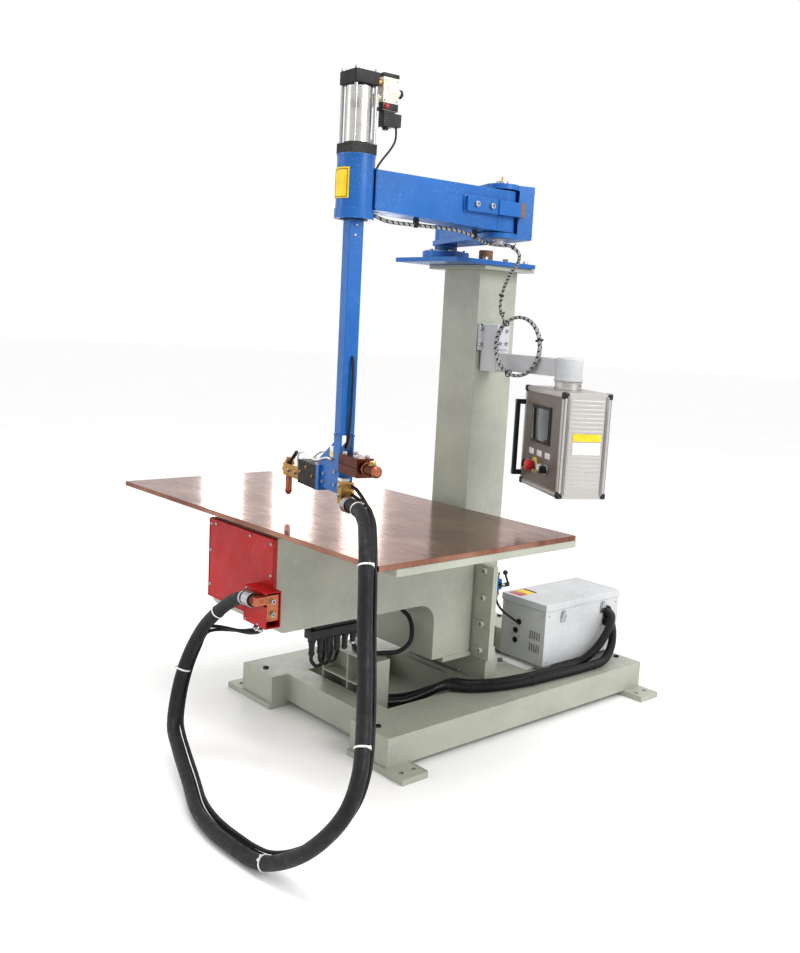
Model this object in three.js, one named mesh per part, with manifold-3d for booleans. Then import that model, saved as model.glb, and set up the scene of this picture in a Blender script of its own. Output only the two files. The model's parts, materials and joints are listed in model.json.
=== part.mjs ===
// Table spot welder: a copper welding table on a base frame, with a column at its rear that carries
// a double-jointed arm, an air cylinder and a vertical ram with the upper electrode.
//
// Frame: millimetres, +Z up, origin on the floor under the middle of the machine without its free
// cables. +X is the right side of the operator, who stands at the front (-Y) and looks along +Y.

import * as THREE from 'three';
import { mergeVertices } from 'three/addons/utils/BufferGeometryUtils.js';
import Module from 'manifold-3d';

const wasm = await Module();
wasm.setup();

// ---- driving dimensions (mm, degrees) ----

const GAP = 0.3;
const ROUND = 24;

const TABLE = { halfWidth: 750, front: -835, back: -11, top: 811, thick: 16 };
const SUBFRAME = { halfWidth: 748, front: -770, back: -4, depth: 24, bar: 90 };

const BEAM = { inner: 237, outer: 435, front: -490, back: 878, bottom: 20, top: 124 };
const PAD = { outer: 525, front: -500, back: 885, length: 110, holeX: 480, holeRadius: 9 };
const DECK = { top: 32, back: 92 };

const COLUMN = { halfWidth: 92, front: 142, back: 344, top: 1665, wall: 8 };
const MOUNT = { halfWidth: 284, front: 130, bottom: 225, top: 585 };
const CAP_PLATE = { halfWidth: 150, front: 110, back: 375, top: 1680 };
const SWING_PLATE = { halfWidth: 165, front: -48, back: 362, top: 1696 };

const PIVOT = new THREE.Vector2(0, 50);
const LINK_ANGLE = -21.57;
const LINK_LENGTH = 457;
const ARM_ANGLE = -4;
const ARM_LENGTH = 570;
const TOOL_ANGLE = -12.7;

const PLATE_LOW = { bottom: 1742, top: 1758 };
const PLATE_HIGH = { bottom: 1894, top: 1910 };
const HOUSING = { radius: 55, bore: 40, bottom: 1746, top: 1926 };
const RAM = { half: 23, wall: 4, bottom: 1118, top: 1893 };
const CYLINDER = { capHalf: 41.5, capBottom: 1926.3, barrelBottom: 1956.3, barrelTop: 2115.7, top: 2154 };

const ARM_SIDE = { half: 192, wall: 10, front: -780, bottom: 457, top: 770, rear: 106 };
const ARM_LEG = { front: -83, bottom: 241, fillet: 73 };

const PEDESTAL = { halfWidth: 150, front: -324, back: -248, top: 265, wall: 8 };
const CABINET = { left: 71, right: 300, front: 415, back: 878, bottom: 150, top: 378, wall: 3 };
const LID = { bottom: 378.3, top: 400 };

const HMI_AXIS = new THREE.Vector2(559.5, 124);
const HMI_ANGLE = -27;
const HMI = { half: 172.5, depth: 160, bottom: 919, top: 1264 };

const WELD_CABLE = 42;
const SIGNAL_CABLE = 12;
const CONDUIT = 34;

// ---- paints ----

const paint = (color, roughness, metalness) =>
  new THREE.MeshStandardMaterial({ color, roughness, metalness });
const BLUE = paint(0x1f69bd, 0.4, 0.1);
const CREAM = paint(0xafb4aa, 0.5, 0.1);
const RED = paint(0x870c0e, 0.45, 0.1);
const GREY = paint(0xb4b6b8, 0.5, 0.1);
const SILVER = paint(0xc8c8c8, 0.35, 0.9);
const STEEL = paint(0x8f9499, 0.35, 1);
const COPPER = paint(0xb06a48, 0.3, 1);
const BRASS = paint(0xb48c46, 0.35, 1);
const BLACK = paint(0x18181a, 0.6, 0);
const HOSE = paint(0x28282d, 0.7, 0);
const IVORY = paint(0xe1dcd2, 0.5, 0);
const BROWN = paint(0x8c6a4a, 0.7, 0);
const WHITE = paint(0xe8e8e6, 0.5, 0);

// ---- geometry helpers ----

function toSolid(geometry) {
  const bare = geometry.clone();
  bare.deleteAttribute('normal');
  bare.deleteAttribute('uv');
  const merged = mergeVertices(bare, 1e-3);
  const triVerts = new Uint32Array(merged.index.array);
  return new wasm.Manifold(new wasm.Mesh({
    numProp: 3,
    vertProperties: new Float32Array(merged.attributes.position.array),
    triVerts,
  }));
}

function toGeometry(solid) {
  const mesh = solid.getMesh();
  const geometry = new THREE.BufferGeometry();
  geometry.setAttribute('position', new THREE.BufferAttribute(mesh.vertProperties, 3));
  geometry.setIndex(new THREE.BufferAttribute(mesh.triVerts, 1));
  geometry.computeVertexNormals();
  return geometry;
}

function join(...pieces) {
  return toGeometry(pieces.map(toSolid).reduce((whole, piece) => whole.add(piece)));
}

function cut(body, ...tools) {
  return toGeometry(tools.map(toSolid).reduce((whole, tool) => whole.subtract(tool), toSolid(body)));
}

function box(x0, x1, y0, y1, z0, z1) {
  const geometry = new THREE.BoxGeometry(x1 - x0, y1 - y0, z1 - z0);
  return geometry.translate((x0 + x1) / 2, (y0 + y1) / 2, (z0 + z1) / 2);
}

// A round bar between two points.
function bar(radius, from, to, sides = ROUND) {
  const start = new THREE.Vector3(...from);
  const along = new THREE.Vector3(...to).sub(start);
  const geometry = new THREE.CylinderGeometry(radius, radius, along.length(), sides);
  geometry.translate(0, along.length() / 2, 0);
  const turn = new THREE.Quaternion();
  turn.setFromUnitVectors(new THREE.Vector3(0, 1, 0), along.clone().normalize());
  return geometry.applyQuaternion(turn).translate(start.x, start.y, start.z);
}

function post(radius, x, y, z0, z1, sides = ROUND) {
  return bar(radius, [x, y, z0], [x, y, z1], sides);
}

// The radius of a faceted bore that a faceted bar of the given radius turns in freely.
function boreFor(radius, sides = ROUND) {
  return radius / Math.cos(Math.PI / sides) + GAP;
}

// A flat outline in X and Y, thick from z0 to z1.
function slab(outline, z0, z1) {
  const geometry = new THREE.ExtrudeGeometry(outline,
    { depth: z1 - z0, bevelEnabled: false, curveSegments: 12 });
  return geometry.translate(0, 0, z0);
}

// An outline in Y and Z, running along X from x0 to x1.
function alongX(outline, x0, x1) {
  const geometry = new THREE.ExtrudeGeometry(outline,
    { depth: x1 - x0, bevelEnabled: false, curveSegments: 8 });
  return geometry.rotateY(Math.PI / 2).rotateX(Math.PI / 2).translate(x0, 0, 0);
}

// An outline in X and Z, running along Y from y0 to y1.
function alongY(outline, y0, y1) {
  const geometry = new THREE.ExtrudeGeometry(outline,
    { depth: y1 - y0, bevelEnabled: false, curveSegments: 8 });
  return geometry.rotateX(Math.PI / 2).translate(0, y1, 0);
}

function outlineOf(points) {
  return new THREE.Shape(points.map(([a, b]) => new THREE.Vector2(a, b)));
}

// A smooth line through points chosen by hand.
function route(points) {
  return new THREE.CatmullRomCurve3(points.map((point) => new THREE.Vector3(...point)), false, 'centripetal');
}

// One length of a longer line, so that neighbouring lengths meet square.
class Stretch extends THREE.Curve {
  constructor(line, start, end) {
    super();
    this.line = line;
    this.start = start;
    this.end = end;
  }

  getPoint(t) {
    return this.line.getPointAt(THREE.MathUtils.lerp(this.start, this.end, t));
  }
}

// A tube of a cord's diameter along a line.
function cord(diameter, line, steps, sides = 8) {
  const section = new THREE.Shape();
  for (let side = 0; side < sides; side += 1) {
    const angle = (2 * Math.PI * side) / sides;
    const corner = [Math.cos(angle) * diameter / 2, Math.sin(angle) * diameter / 2];
    if (side === 0) section.moveTo(...corner);
    else section.lineTo(...corner);
  }
  section.closePath();
  return new THREE.ExtrudeGeometry(section, { steps, extrudePath: line, bevelEnabled: false });
}

function add(group, name, geometry, material) {
  const mesh = new THREE.Mesh(geometry, material);
  mesh.name = name;
  group.add(mesh);
  return mesh;
}

// A group turned about the vertical, whose own origin stands at (x, y).
function station(x, y, degrees) {
  const group = new THREE.Group();
  group.position.set(x, y, 0);
  group.rotation.z = THREE.MathUtils.degToRad(degrees);
  return group;
}

function offset(origin, degrees, x, y) {
  return new THREE.Vector2(x, y)
    .rotateAround(new THREE.Vector2(), THREE.MathUtils.degToRad(degrees)).add(origin);
}

const ELBOW = offset(PIVOT, LINK_ANGLE, LINK_LENGTH, 0);
const HEAD = offset(ELBOW, ARM_ANGLE, 0, -ARM_LENGTH);

const machine = new THREE.Group();
const link = station(PIVOT.x, PIVOT.y, LINK_ANGLE);
const arm = station(ELBOW.x, ELBOW.y, ARM_ANGLE);
const tool = station(HEAD.x, HEAD.y, TOOL_ANGLE);
const panel = station(HMI_AXIS.x, HMI_AXIS.y, HMI_ANGLE);
machine.add(link, arm, tool, panel);

// ---- base frame, column and plates ----

function baseFrame() {
  const parts = [];
  const holes = [];
  for (const side of [-1, 1]) {
    const [x0, x1] = [side * BEAM.inner, side * BEAM.outer].sort((a, b) => a - b);
    parts.push(box(x0, x1, BEAM.front, BEAM.back, BEAM.bottom, BEAM.top));
    const [p0, p1] = [side * BEAM.inner, side * PAD.outer].sort((a, b) => a - b);
    parts.push(box(p0, p1, PAD.front, PAD.front + PAD.length, 0, BEAM.bottom + 1));
    parts.push(box(p0, p1, PAD.back - PAD.length, PAD.back, 0, BEAM.bottom + 1));
    for (const y of [PAD.front + 33, PAD.front + 85, PAD.back - 85, PAD.back - 33]) {
      holes.push(post(PAD.holeRadius, side * PAD.holeX, y, -5, BEAM.bottom + 10, 12));
    }
  }
  const reach = BEAM.inner + 5;
  parts.push(box(-reach, reach, -418, -325, BEAM.bottom, BEAM.top));
  parts.push(box(-reach, reach, DECK.back, 394, BEAM.bottom, BEAM.top));
  parts.push(box(-reach, reach, 713, 806, BEAM.bottom, BEAM.top));
  parts.push(box(-reach, reach, -330, DECK.back + 5, BEAM.bottom, DECK.top));
  return cut(join(...parts), ...holes);
}

// The wide plate on the column's front that the lower arm is bolted to.
function columnMount() {
  const { halfWidth, front, bottom, top } = MOUNT;
  const back = COLUMN.front + 1;
  const plate = box(-halfWidth, halfWidth, front, back, BEAM.top + 15, top);
  const trim = [-1, 1].map((side) => {
    const [x0, x1] = [side * 262, side * 300].sort((a, b) => a - b);
    return box(x0, x1, front - 5, back + 5, BEAM.top, bottom);
  });
  const gussets = [-1, 1].map((side) => {
    const [x0, x1] = [side * 236, side * 246].sort((a, b) => a - b);
    const outline = outlineOf([[front + 2, BEAM.top + 15], [back + 75, BEAM.top + 15],
      [back + 50, bottom + 35],
      [front + 2, bottom + 35]]);
    return alongX(outline, x0, x1);
  });
  return join(cut(plate, ...trim), ...gussets);
}

function column() {
  const { halfWidth, front, back, top, wall } = COLUMN;
  const bottom = BEAM.top + GAP;
  const shaft = box(-halfWidth, halfWidth, front, back, bottom, top);
  const hollow = box(-halfWidth + wall, halfWidth - wall, front + wall, back - wall, bottom - 5, top + 5);
  const tube = cut(shaft, hollow);
  const foot = cut(box(-150, 150, front - 30, back + 30, bottom, bottom + 12), hollow);
  const rib = (side) => {
    const outline = outlineOf([[side * (halfWidth - 2), bottom + 5], [side * 146, bottom + 5],
      [side * (halfWidth - 2), 330]]);
    return alongY(outline, 235, 251);
  };
  return join(tube, foot, rib(-1), rib(1), columnMount());
}

add(machine, 'base_frame', baseFrame(), CREAM);
add(machine, 'column', column(), CREAM);
add(machine, 'column_top_plate',
  box(-CAP_PLATE.halfWidth, CAP_PLATE.halfWidth, CAP_PLATE.front, CAP_PLATE.back,
    COLUMN.top + GAP, CAP_PLATE.top), CREAM);
add(machine, 'swing_base_plate', box(-SWING_PLATE.halfWidth, SWING_PLATE.halfWidth, SWING_PLATE.front,
  SWING_PLATE.back, CAP_PLATE.top + GAP, SWING_PLATE.top), BLUE);
add(machine, 'pivot_post', join(
  post(86, PIVOT.x, PIVOT.y, SWING_PLATE.top + GAP, 1720),
  post(25, PIVOT.x, PIVOT.y, 1710, 1918),
), BLUE);
add(machine, 'stop_post', post(26, 60, 200, SWING_PLATE.top + GAP, 1738), BROWN);

// ---- copper table and the lower arm with the welding transformer ----

function subframe() {
  const { halfWidth, front, back, depth, bar: rail } = SUBFRAME;
  const top = TABLE.top - TABLE.thick - GAP;
  const plate = box(-halfWidth, halfWidth, front, back, top - depth, top);
  const windows = [[-halfWidth + rail, -200], [200, halfWidth - rail]].map(([x0, x1]) => (
    box(x0, x1, front + rail, back - rail, top - depth - 5, top + 5)));
  const ledge = box(-100, 390, back - 40, 40, top - depth, top);
  return join(cut(plate, ...windows), ledge);
}

// The side view of the lower arm, set in from the outside by a margin.
function armOutline(inset) {
  const { front, bottom, top, rear } = ARM_SIDE;
  const corner = 40 - inset;
  const shape = new THREE.Shape();
  shape.moveTo(front + inset, top - inset);
  shape.lineTo(front + inset, bottom + 40);
  shape.absarc(front + 40, bottom + 40, corner, Math.PI, Math.PI * 1.5, false);
  shape.lineTo(ARM_LEG.front - ARM_LEG.fillet, bottom + inset);
  shape.absarc(ARM_LEG.front - ARM_LEG.fillet, bottom - ARM_LEG.fillet, ARM_LEG.fillet + inset,
    Math.PI / 2, 0, true);
  shape.lineTo(ARM_LEG.front + inset, ARM_LEG.bottom + inset);
  shape.lineTo(rear - inset, ARM_LEG.bottom + inset);
  shape.lineTo(rear - inset, top - inset);
  shape.closePath();
  return shape;
}

function lowerArm() {
  const { half, wall, front, top } = ARM_SIDE;
  const shell = cut(
    alongX(armOutline(0), -half, half),
    alongX(armOutline(wall), -half + wall, half - wall),
    box(-half + wall, half - wall, front - 5, front + 60, 500, top - wall),
  );
  const neck = box(-half + 12, half - 12, ARM_SIDE.rear - 12, 119, ARM_LEG.bottom, 585);
  const flange = box(-MOUNT.halfWidth, MOUNT.halfWidth, 118, MOUNT.front - GAP, MOUNT.bottom, 585);
  const sole = box(-half - 6, half + 6, ARM_LEG.front + 50, ARM_SIDE.rear + 8, MOUNT.bottom,
    ARM_LEG.bottom + 2);
  return join(shell, neck, flange, sole);
}

function transformer() {
  const core = cut(box(-140, 140, -640, -400, 480, 740), box(-80, 80, -650, -390, 540, 680));
  const feet = box(-150, 150, -650, -390, 467.5, 485);
  const coil = (x0, x1) => box(x0, x1, -670, -370, 530, 690);
  return join(core, feet, coil(-165, -60), coil(60, 165), box(-30, 30, -640, -400, 478, 742));
}

// A short red box over the secondary terminal, open to the right and slotted for the cable lug.
function terminalHood() {
  const outer = box(118, 245, -852, -796.3, 500, 616);
  const inner = box(122, 250, -848, -800.3, 504, 612);
  return cut(outer, inner, box(206, 250, -860, -840, 572, 608));
}

add(machine, 'copper_table', box(-TABLE.halfWidth, TABLE.halfWidth, TABLE.front, TABLE.back,
  TABLE.top - TABLE.thick, TABLE.top), COPPER);
add(machine, 'table_subframe', subframe(), CREAM);
add(machine, 'lower_arm', lowerArm(), CREAM);
add(machine, 'transformer', transformer(), STEEL);
add(machine, 'front_cover', box(-195, 195, -796, ARM_SIDE.front - GAP, 497, 770.3), RED);
add(machine, 'terminal_hood', terminalHood(), RED);
add(machine, 'terminal_block', join(
  box(212, 240, -846, -802, 522, 606),
  box(209, 238, -885, -840, 576, 604),
), COPPER);

// ---- support under the lower arm ----

function pedestal() {
  const { halfWidth, front, back, top, wall } = PEDESTAL;
  const bottom = DECK.top + GAP;
  const body = box(-halfWidth, halfWidth, front, back, bottom, top);
  const sides = [[-halfWidth + wall, -wall / 2], [wall / 2, halfWidth - wall]];
  const floors = [[60, 150], [158, top - 12]];
  const bays = sides.flatMap(([x0, x1]) => floors.map(([z0, z1]) => (
    box(x0, x1, front - 5, back - wall, z0, z1))));
  return cut(body, ...bays);
}

function manifold() {
  const body = box(118, 158, -610, -400, 400, 428);
  const ports = [];
  for (let port = 0; port < 6; port += 1) {
    const y = -592 + port * 35;
    ports.push(post(11, 138, y, 372, 402, 12));
  }
  return join(body, box(128, 148, -590, -420, 425, 456.5), ...ports);
}

add(machine, 'pedestal', pedestal(), CREAM);
add(machine, 'jack_screw', join(
  post(16, 0, -286, PEDESTAL.top + GAP, 440),
  post(42, 0, -286, 438, 456.5),
  post(26, 0, -286, 300, 322, 6),
), STEEL);
add(machine, 'manifold', manifold(), BLACK);

// ---- control cabinet and hand valve ----

function cabinetBody() {
  const { left, right, front, back, bottom, top, wall } = CABINET;
  const shell = cut(
    box(left, right, front, back, bottom, top),
    box(left + wall, right - wall, front + wall, back - wall, bottom + wall, top + 5),
    bar(18.5, [right - 20, 800, 318], [right + 20, 800, 318], 16),
    bar(18.5, [right - 20, 800, 283], [right + 20, 800, 283], 16),
    ...[[150, 262], [150, 222], [165, 300]].map(([x, z]) =>
      bar(9, [x, front - 10, z], [x, front + 10, z], 12)),
  );
  const feet = [[238, 440], [238, 830]].map(([x, y]) =>
    box(x, x + 50, y, y + 40, BEAM.top + GAP, bottom + 1));
  const rail = box(90, 130, 730, 790, BEAM.top + GAP, bottom + 1);
  return join(shell, ...feet, rail);
}

add(machine, 'cabinet_body', cabinetBody(), GREY);
add(machine, 'control_module', box(110, 240, 520, 760, 153.5, 290), STEEL);
add(machine, 'cabinet_lid', cut(
  box(CABINET.left - 4, CABINET.right + 4, CABINET.front - 4, CABINET.back + 3, 372, LID.top),
  box(CABINET.left - 1, CABINET.right + 1, CABINET.front - 1, CABINET.back + 1, 360, LID.bottom),
), GREY);
add(machine, 'hand_valve_body', join(
  box(COLUMN.halfWidth + GAP, 100, 312, 342, 370, 480),
  box(98, 124, 318, 342, 434, 476),
  post(7, 111, 330, 474, 492, 12),
  post(8, 111, 330, 420, 436, 12),
), BLUE);
add(machine, 'hand_valve_lever', join(
  bar(7, [124.3, 334, 455], [138, 334, 455], 12),
  box(132, 138, 326, 372, 446, 462),
  bar(4, [135, 366, 458], [135, 346, 500], 10),
  new THREE.SphereGeometry(10, 12, 8).translate(135, 346, 504),
), BLACK);

// ---- column bracket and support arm of the operator panel ----

function supportArm() {
  const root = new THREE.Vector2(149, 196);
  const along = HMI_AXIS.clone().sub(root);
  const side = along.clone().normalize().rotateAround(new THREE.Vector2(), Math.PI / 2).multiplyScalar(25);
  const end = root.clone().add(along.clone().multiplyScalar(0.97));
  const corners = [root.clone().sub(side), end.clone().sub(side), end.clone().add(side),
    root.clone().add(side)];
  const beam = slab(new THREE.Shape(corners), 1304, 1365);
  const knuckle = post(46, HMI_AXIS.x, HMI_AXIS.y, 1292, 1365, 24);
  const wallBlock = box(COLUMN.halfWidth + GAP + 8, 180, 163, 229, 1296, 1468);
  const ears = box(COLUMN.halfWidth + GAP, 104, 148, 240, 1372, 1470);
  return join(beam, knuckle, wallBlock, ears);
}

add(machine, 'hmi_support_arm', supportArm(), SILVER);

// ---- operator panel ----

const BUTTONS = { z: 998, estop: -45, push: 10, stem: 11, pocket: 8 };

// The box has a pocket behind each button for the stem to move into.
function panelBox() {
  const { half, depth, bottom, top } = HMI;
  const body = join(box(-half, half, -depth / 2, depth / 2, bottom, top),
    post(44, 0, 0, top - 1, 1291.7, 24));
  const pockets = [BUTTONS.estop, BUTTONS.push].map((x) => bar(boreFor(BUTTONS.stem, 16),
    [x, -depth / 2 - 5, BUTTONS.z], [x, -depth / 2 + BUTTONS.pocket, BUTTONS.z], 16));
  return cut(body, ...pockets);
}

// The upright handle on the left edge of the panel's face.
function panelHandle() {
  const near = -HMI.depth / 2 - GAP;
  const grip = box(-171, -157, near - 38, near - 24, 948, 1214);
  const lug = (z) => box(-172, -156, near - 38, near, z, z + 16);
  return join(grip, lug(948), lug(1198));
}

const FACE = -HMI.depth / 2 - GAP;
function selector(x) {
  const { z } = BUTTONS;
  return join(bar(12, [x, FACE, z], [x, FACE - 10, z], 16),
    box(x - 4, x + 4, FACE - 28, FACE - 8, z - 12, z + 12));
}

add(panel, 'hmi_box', panelBox(), SILVER);
add(panel, 'hmi_handle', panelHandle(), BLACK);
add(panel, 'estop_button', join(
  bar(BUTTONS.stem, [BUTTONS.estop, FACE, BUTTONS.z], [BUTTONS.estop, FACE - 18, BUTTONS.z], 16),
  bar(20, [BUTTONS.estop, FACE - 14, BUTTONS.z], [BUTTONS.estop, FACE - 30, BUTTONS.z], 20),
), RED);
add(panel, 'push_button', bar(BUTTONS.stem, [BUTTONS.push, FACE, BUTTONS.z],
  [BUTTONS.push, FACE - 14, BUTTONS.z], 16), WHITE);
add(panel, 'selector_left', selector(-98), BLACK);
add(panel, 'selector_right', selector(62), BLACK);

// ---- swing link between the column pivot and the elbow ----

function linkPlate(z0, z1) {
  const nose = slab(outlineOf([[0, -50], [LINK_LENGTH, -55], [LINK_LENGTH + 30, 0], [LINK_LENGTH + 30, 103],
    [LINK_LENGTH - 90, 103], [0, 50]]), z0, z1);
  return join(nose, post(50, 0, 0, z0, z1), post(55, LINK_LENGTH, 0, z0, z1));
}

function swingLink() {
  const [low, high] = [PLATE_LOW.top - 1, PLATE_HIGH.bottom + 1];
  const web = box(LINK_LENGTH - 85, LINK_LENGTH + 30, 50, 103, low, high);
  const beam = box(30, 340, -40, 60, low, high);
  const bridge = slab(outlineOf([[330, -10], [345, -10], [LINK_LENGTH - 75, 52], [LINK_LENGTH - 75, 100],
    [330, 60]]),
    low, high);
  const solid = join(linkPlate(PLATE_LOW.bottom, PLATE_LOW.top), linkPlate(PLATE_HIGH.bottom, PLATE_HIGH.top),
    beam, web, bridge, post(42, 0, 0, 1724, high));
  return cut(solid, post(boreFor(25), 0, 0, 1700, 1950), post(boreFor(15), LINK_LENGTH, 0, 1700, 1950));
}

add(link, 'swing_link', swingLink(), BLUE);
add(link, 'elbow_pin', join(
  post(15, LINK_LENGTH, 0, 1724, 1922),
  post(20, LINK_LENGTH, 0, 1724, PLATE_LOW.bottom - GAP),
  post(20, LINK_LENGTH, 0, PLATE_HIGH.top + GAP, 1922),
), STEEL);

// ---- upper arm with the ram housing and its stop ----

function upperArm() {
  const top = 1889;
  const side = outlineOf([[-ARM_LENGTH + 46, 1775], [-ARM_LENGTH + 46, top], [0, top], [0, 1760.5]]);
  const inside = outlineOf([[-ARM_LENGTH + 30, 1781], [-ARM_LENGTH + 30, top - 6], [-52, top - 6],
    [-52, 1768]]);
  const beam = cut(alongX(side, -45, 45), alongX(inside, -39, 39),
    post(12, 0, -ARM_LENGTH + 75, 1760, 1800, 12));
  const whole = join(beam, post(47, 0, 0, 1760.5, 1890));
  return cut(whole, post(boreFor(15), 0, 0, 1700, 1950),
    post(boreFor(HOUSING.radius), 0, -ARM_LENGTH, 1700, 1950));
}

function ramHousing() {
  const { radius, bore, bottom, top } = HOUSING;
  const tube = join(post(radius, 0, 0, bottom, top), post(radius + 3, 0, 0, bottom, 1773));
  const slide = RAM.half + 0.5;
  return cut(tube, post(bore, 0, 0, 1773, top + 5), box(-slide, slide, -slide, slide, bottom - 5, top));
}

add(arm, 'upper_arm', upperArm(), BLUE);
add(arm, 'stop_bracket', join(
  box(45 + GAP, 61, -191, -60, 1809, 1854),
  box(49, 67, -64, 30, 1809, 1854),
), BLUE);
add(arm, 'stop_pad', box(52, 66, 30.3, 48, 1809, 1854), BROWN);
add(tool, 'ram_housing', ramHousing(), BLUE);

// ---- air cylinder and its valve ----

const cylinder = station(HEAD.x, HEAD.y, ARM_ANGLE);
machine.add(cylinder);

function lowerCap() {
  const { capHalf, capBottom, barrelBottom, barrelTop } = CYLINDER;
  const cap = cut(box(-capHalf, capHalf, -capHalf, capHalf, capBottom, barrelBottom - GAP),
    post(10.4, 0, 0, capBottom - 5, barrelBottom + 5));
  const rods = [];
  for (const [x, y] of [[-34, -34], [34, -34], [34, 34], [-34, 34]]) {
    rods.push(post(4.5, x, y, barrelBottom - 5, barrelTop - GAP, 10));
  }
  return join(cap, ...rods);
}

const VALVE_Y = 101;
function valveBody() {
  const nipple = bar(8, [0, CYLINDER.capHalf + GAP, 2138], [0, VALVE_Y - 26, 2138], 12);
  const body = box(-15, 15, VALVE_Y - 27, VALVE_Y + 27, 2062, 2165);
  const elbow = join(bar(7, [0, VALVE_Y - 26, 2096], [0, 58, 2096], 12), post(9, 0, 58, 2068, 2104, 12));
  const outlet = bar(11, [0, VALVE_Y + 26, 2117], [0, VALVE_Y + 44, 2117], 12);
  const pocket = bar(boreFor(5, 12), [12, VALVE_Y - 14, 2074], [20, VALVE_Y - 14, 2074], 12);
  return cut(join(nipple, body, elbow, outlet), pocket);
}

add(cylinder, 'cylinder_lower_cap', lowerCap(), BLACK);
add(cylinder, 'cylinder_barrel', cut(
  post(38, 0, 0, CYLINDER.barrelBottom, CYLINDER.barrelTop, 28),
  post(32, 0, 0, CYLINDER.barrelBottom - 5, CYLINDER.barrelTop + 5, 28),
), SILVER);
add(cylinder, 'cylinder_upper_cap',
  box(-CYLINDER.capHalf, CYLINDER.capHalf, -CYLINDER.capHalf, CYLINDER.capHalf,
    CYLINDER.barrelTop + GAP, CYLINDER.top), BLACK);
add(cylinder, 'valve_body', valveBody(), IVORY);
add(cylinder, 'valve_coil', join(
  box(-14, 14, VALVE_Y - 20, VALVE_Y + 18, 2018, 2061.7),
  box(-12, 12, VALVE_Y + 16, VALVE_Y + 44, 2022, 2058),
  post(9, 0, VALVE_Y - 4, 2010, 2020, 12),
), BLACK);
add(cylinder, 'override_button', bar(5, [15.3, VALVE_Y - 14, 2074], [21, VALVE_Y - 14, 2074], 12), RED);
add(cylinder, 'air_fitting', join(
  bar(7, [0, CYLINDER.capHalf + GAP, 1941], [0, 60, 1941], 12),
  post(9, 0, 58, 1932, 1976, 12),
), IVORY);
add(cylinder, 'air_tube', cord(8, route([[0, 58, 1976.8], [0, 58, 1984], [5, 60, 2016], [0, 58, 2058],
  [0, 58, 2067.4]]), 14), WHITE);
add(cylinder, 'piston_rod', join(
  post(31.4, 0, 0, 2078, 2102, 28),
  post(10, 0, 0, RAM.top + GAP, 2080),
), STEEL);

// ---- ram and welding head ----

function ramTube() {
  const { half, wall, bottom, top } = RAM;
  return cut(box(-half, half, -half, half, bottom, top),
    box(-half + wall, half - wall, -half + wall, half - wall, bottom - 5, top - 8));
}

function headBracket() {
  const top = RAM.bottom - GAP;
  const side = [[RAM.half, top], [-RAM.half, top], [-RAM.half, 1093], [-130, 1028], [-105, 942],
    [RAM.half, 942]];
  return join(
    alongY(outlineOf(side), -RAM.half, -17),
    alongY(outlineOf(side), 17, RAM.half),
    box(-20, RAM.half, -18, 18, 950, 1047),
    box(-128, -104, -33, 33, 932, 1010),
  );
}

add(tool, 'ram_tube', ramTube(), BLUE);
add(tool, 'head_bracket', headBracket(), BLUE);
add(tool, 'insulator_block', box(-268, -128.3, -33, 33, 930, 1006), BLACK);
add(tool, 'electrode_holder', cut(
  join(box(-410, -268.3, -16, 16, 930, 972), post(21, -421, 0, 930, 972, 20)),
  post(boreFor(11, 20), -421, 0, 900, 1000, 20),
), BRASS);
add(tool, 'electrode', join(post(11, -421, 0, 872, 990, 20), post(8, -421, 0, 863, 875, 20)), COPPER);
add(tool, 'rod_clamp', cut(
  box(RAM.half + GAP, 150, -27, 27, 1010, 1066),
  bar(boreFor(17), [40, 0, 1038], [240, 0, 1038]),
), COPPER);
add(tool, 'electrode_rod', bar(17, [41, 0, 1038], [221, 0, 1038]), COPPER);
add(tool, 'cable_terminal', join(
  box(RAM.half + GAP, 49, -26, 0, 916, 985),
  bar(12, [45, -13, 918], [64, -13, 918], 16),
), BRASS);

// ---- free cables and hoses ----

// The weld cable leaves the head, hangs down in a big loop that lies on the floor, and rises to the
// terminal on the front of the lower arm. It is cut where it is handed from one moving body to the next.
const weldCable = route([
  [445.8, -713.6, 918], [500, -726, 920], [600, -772, 905], [690, -835, 858], [735, -868, 803], [758, -884, 728],
  [775, -896, 668], [802, -914, 598], [845, -944, 505], [879, -970, 423], [930, -1020, 333], [937, -1065, 251],
  [862, -1110, 139], [726, -1132, 46], [657, -1140, 25], [560, -1148, 23], [440, -1146, 23], [330, -1126, 27],
  [200, -1080, 44], [40, -1030, 84], [-50, -1000, 125], [-97, -955, 240], [-92, -925, 335], [-40, -902, 440],
  [46, -884, 526], [118, -876, 572], [165, -874, 588], [190, -874, 590], [208, -874, 590],
]);
const weldCuts = [
  { name: 'weld_cable_upper', start: 0, end: 0.13, steps: 8 },
  { name: 'weld_cable_middle', start: 0.13, end: 0.3, steps: 9 },
  { name: 'weld_cable_lower', start: 0.3, end: 1, steps: 32 },
];
for (const { name, start, end, steps } of weldCuts) {
  const seam = start === 0 ? 0 : 0.0002;
  add(machine, name, cord(WELD_CABLE, new Stretch(weldCable, start + seam, end), steps, 10), HOSE);
}

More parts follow.
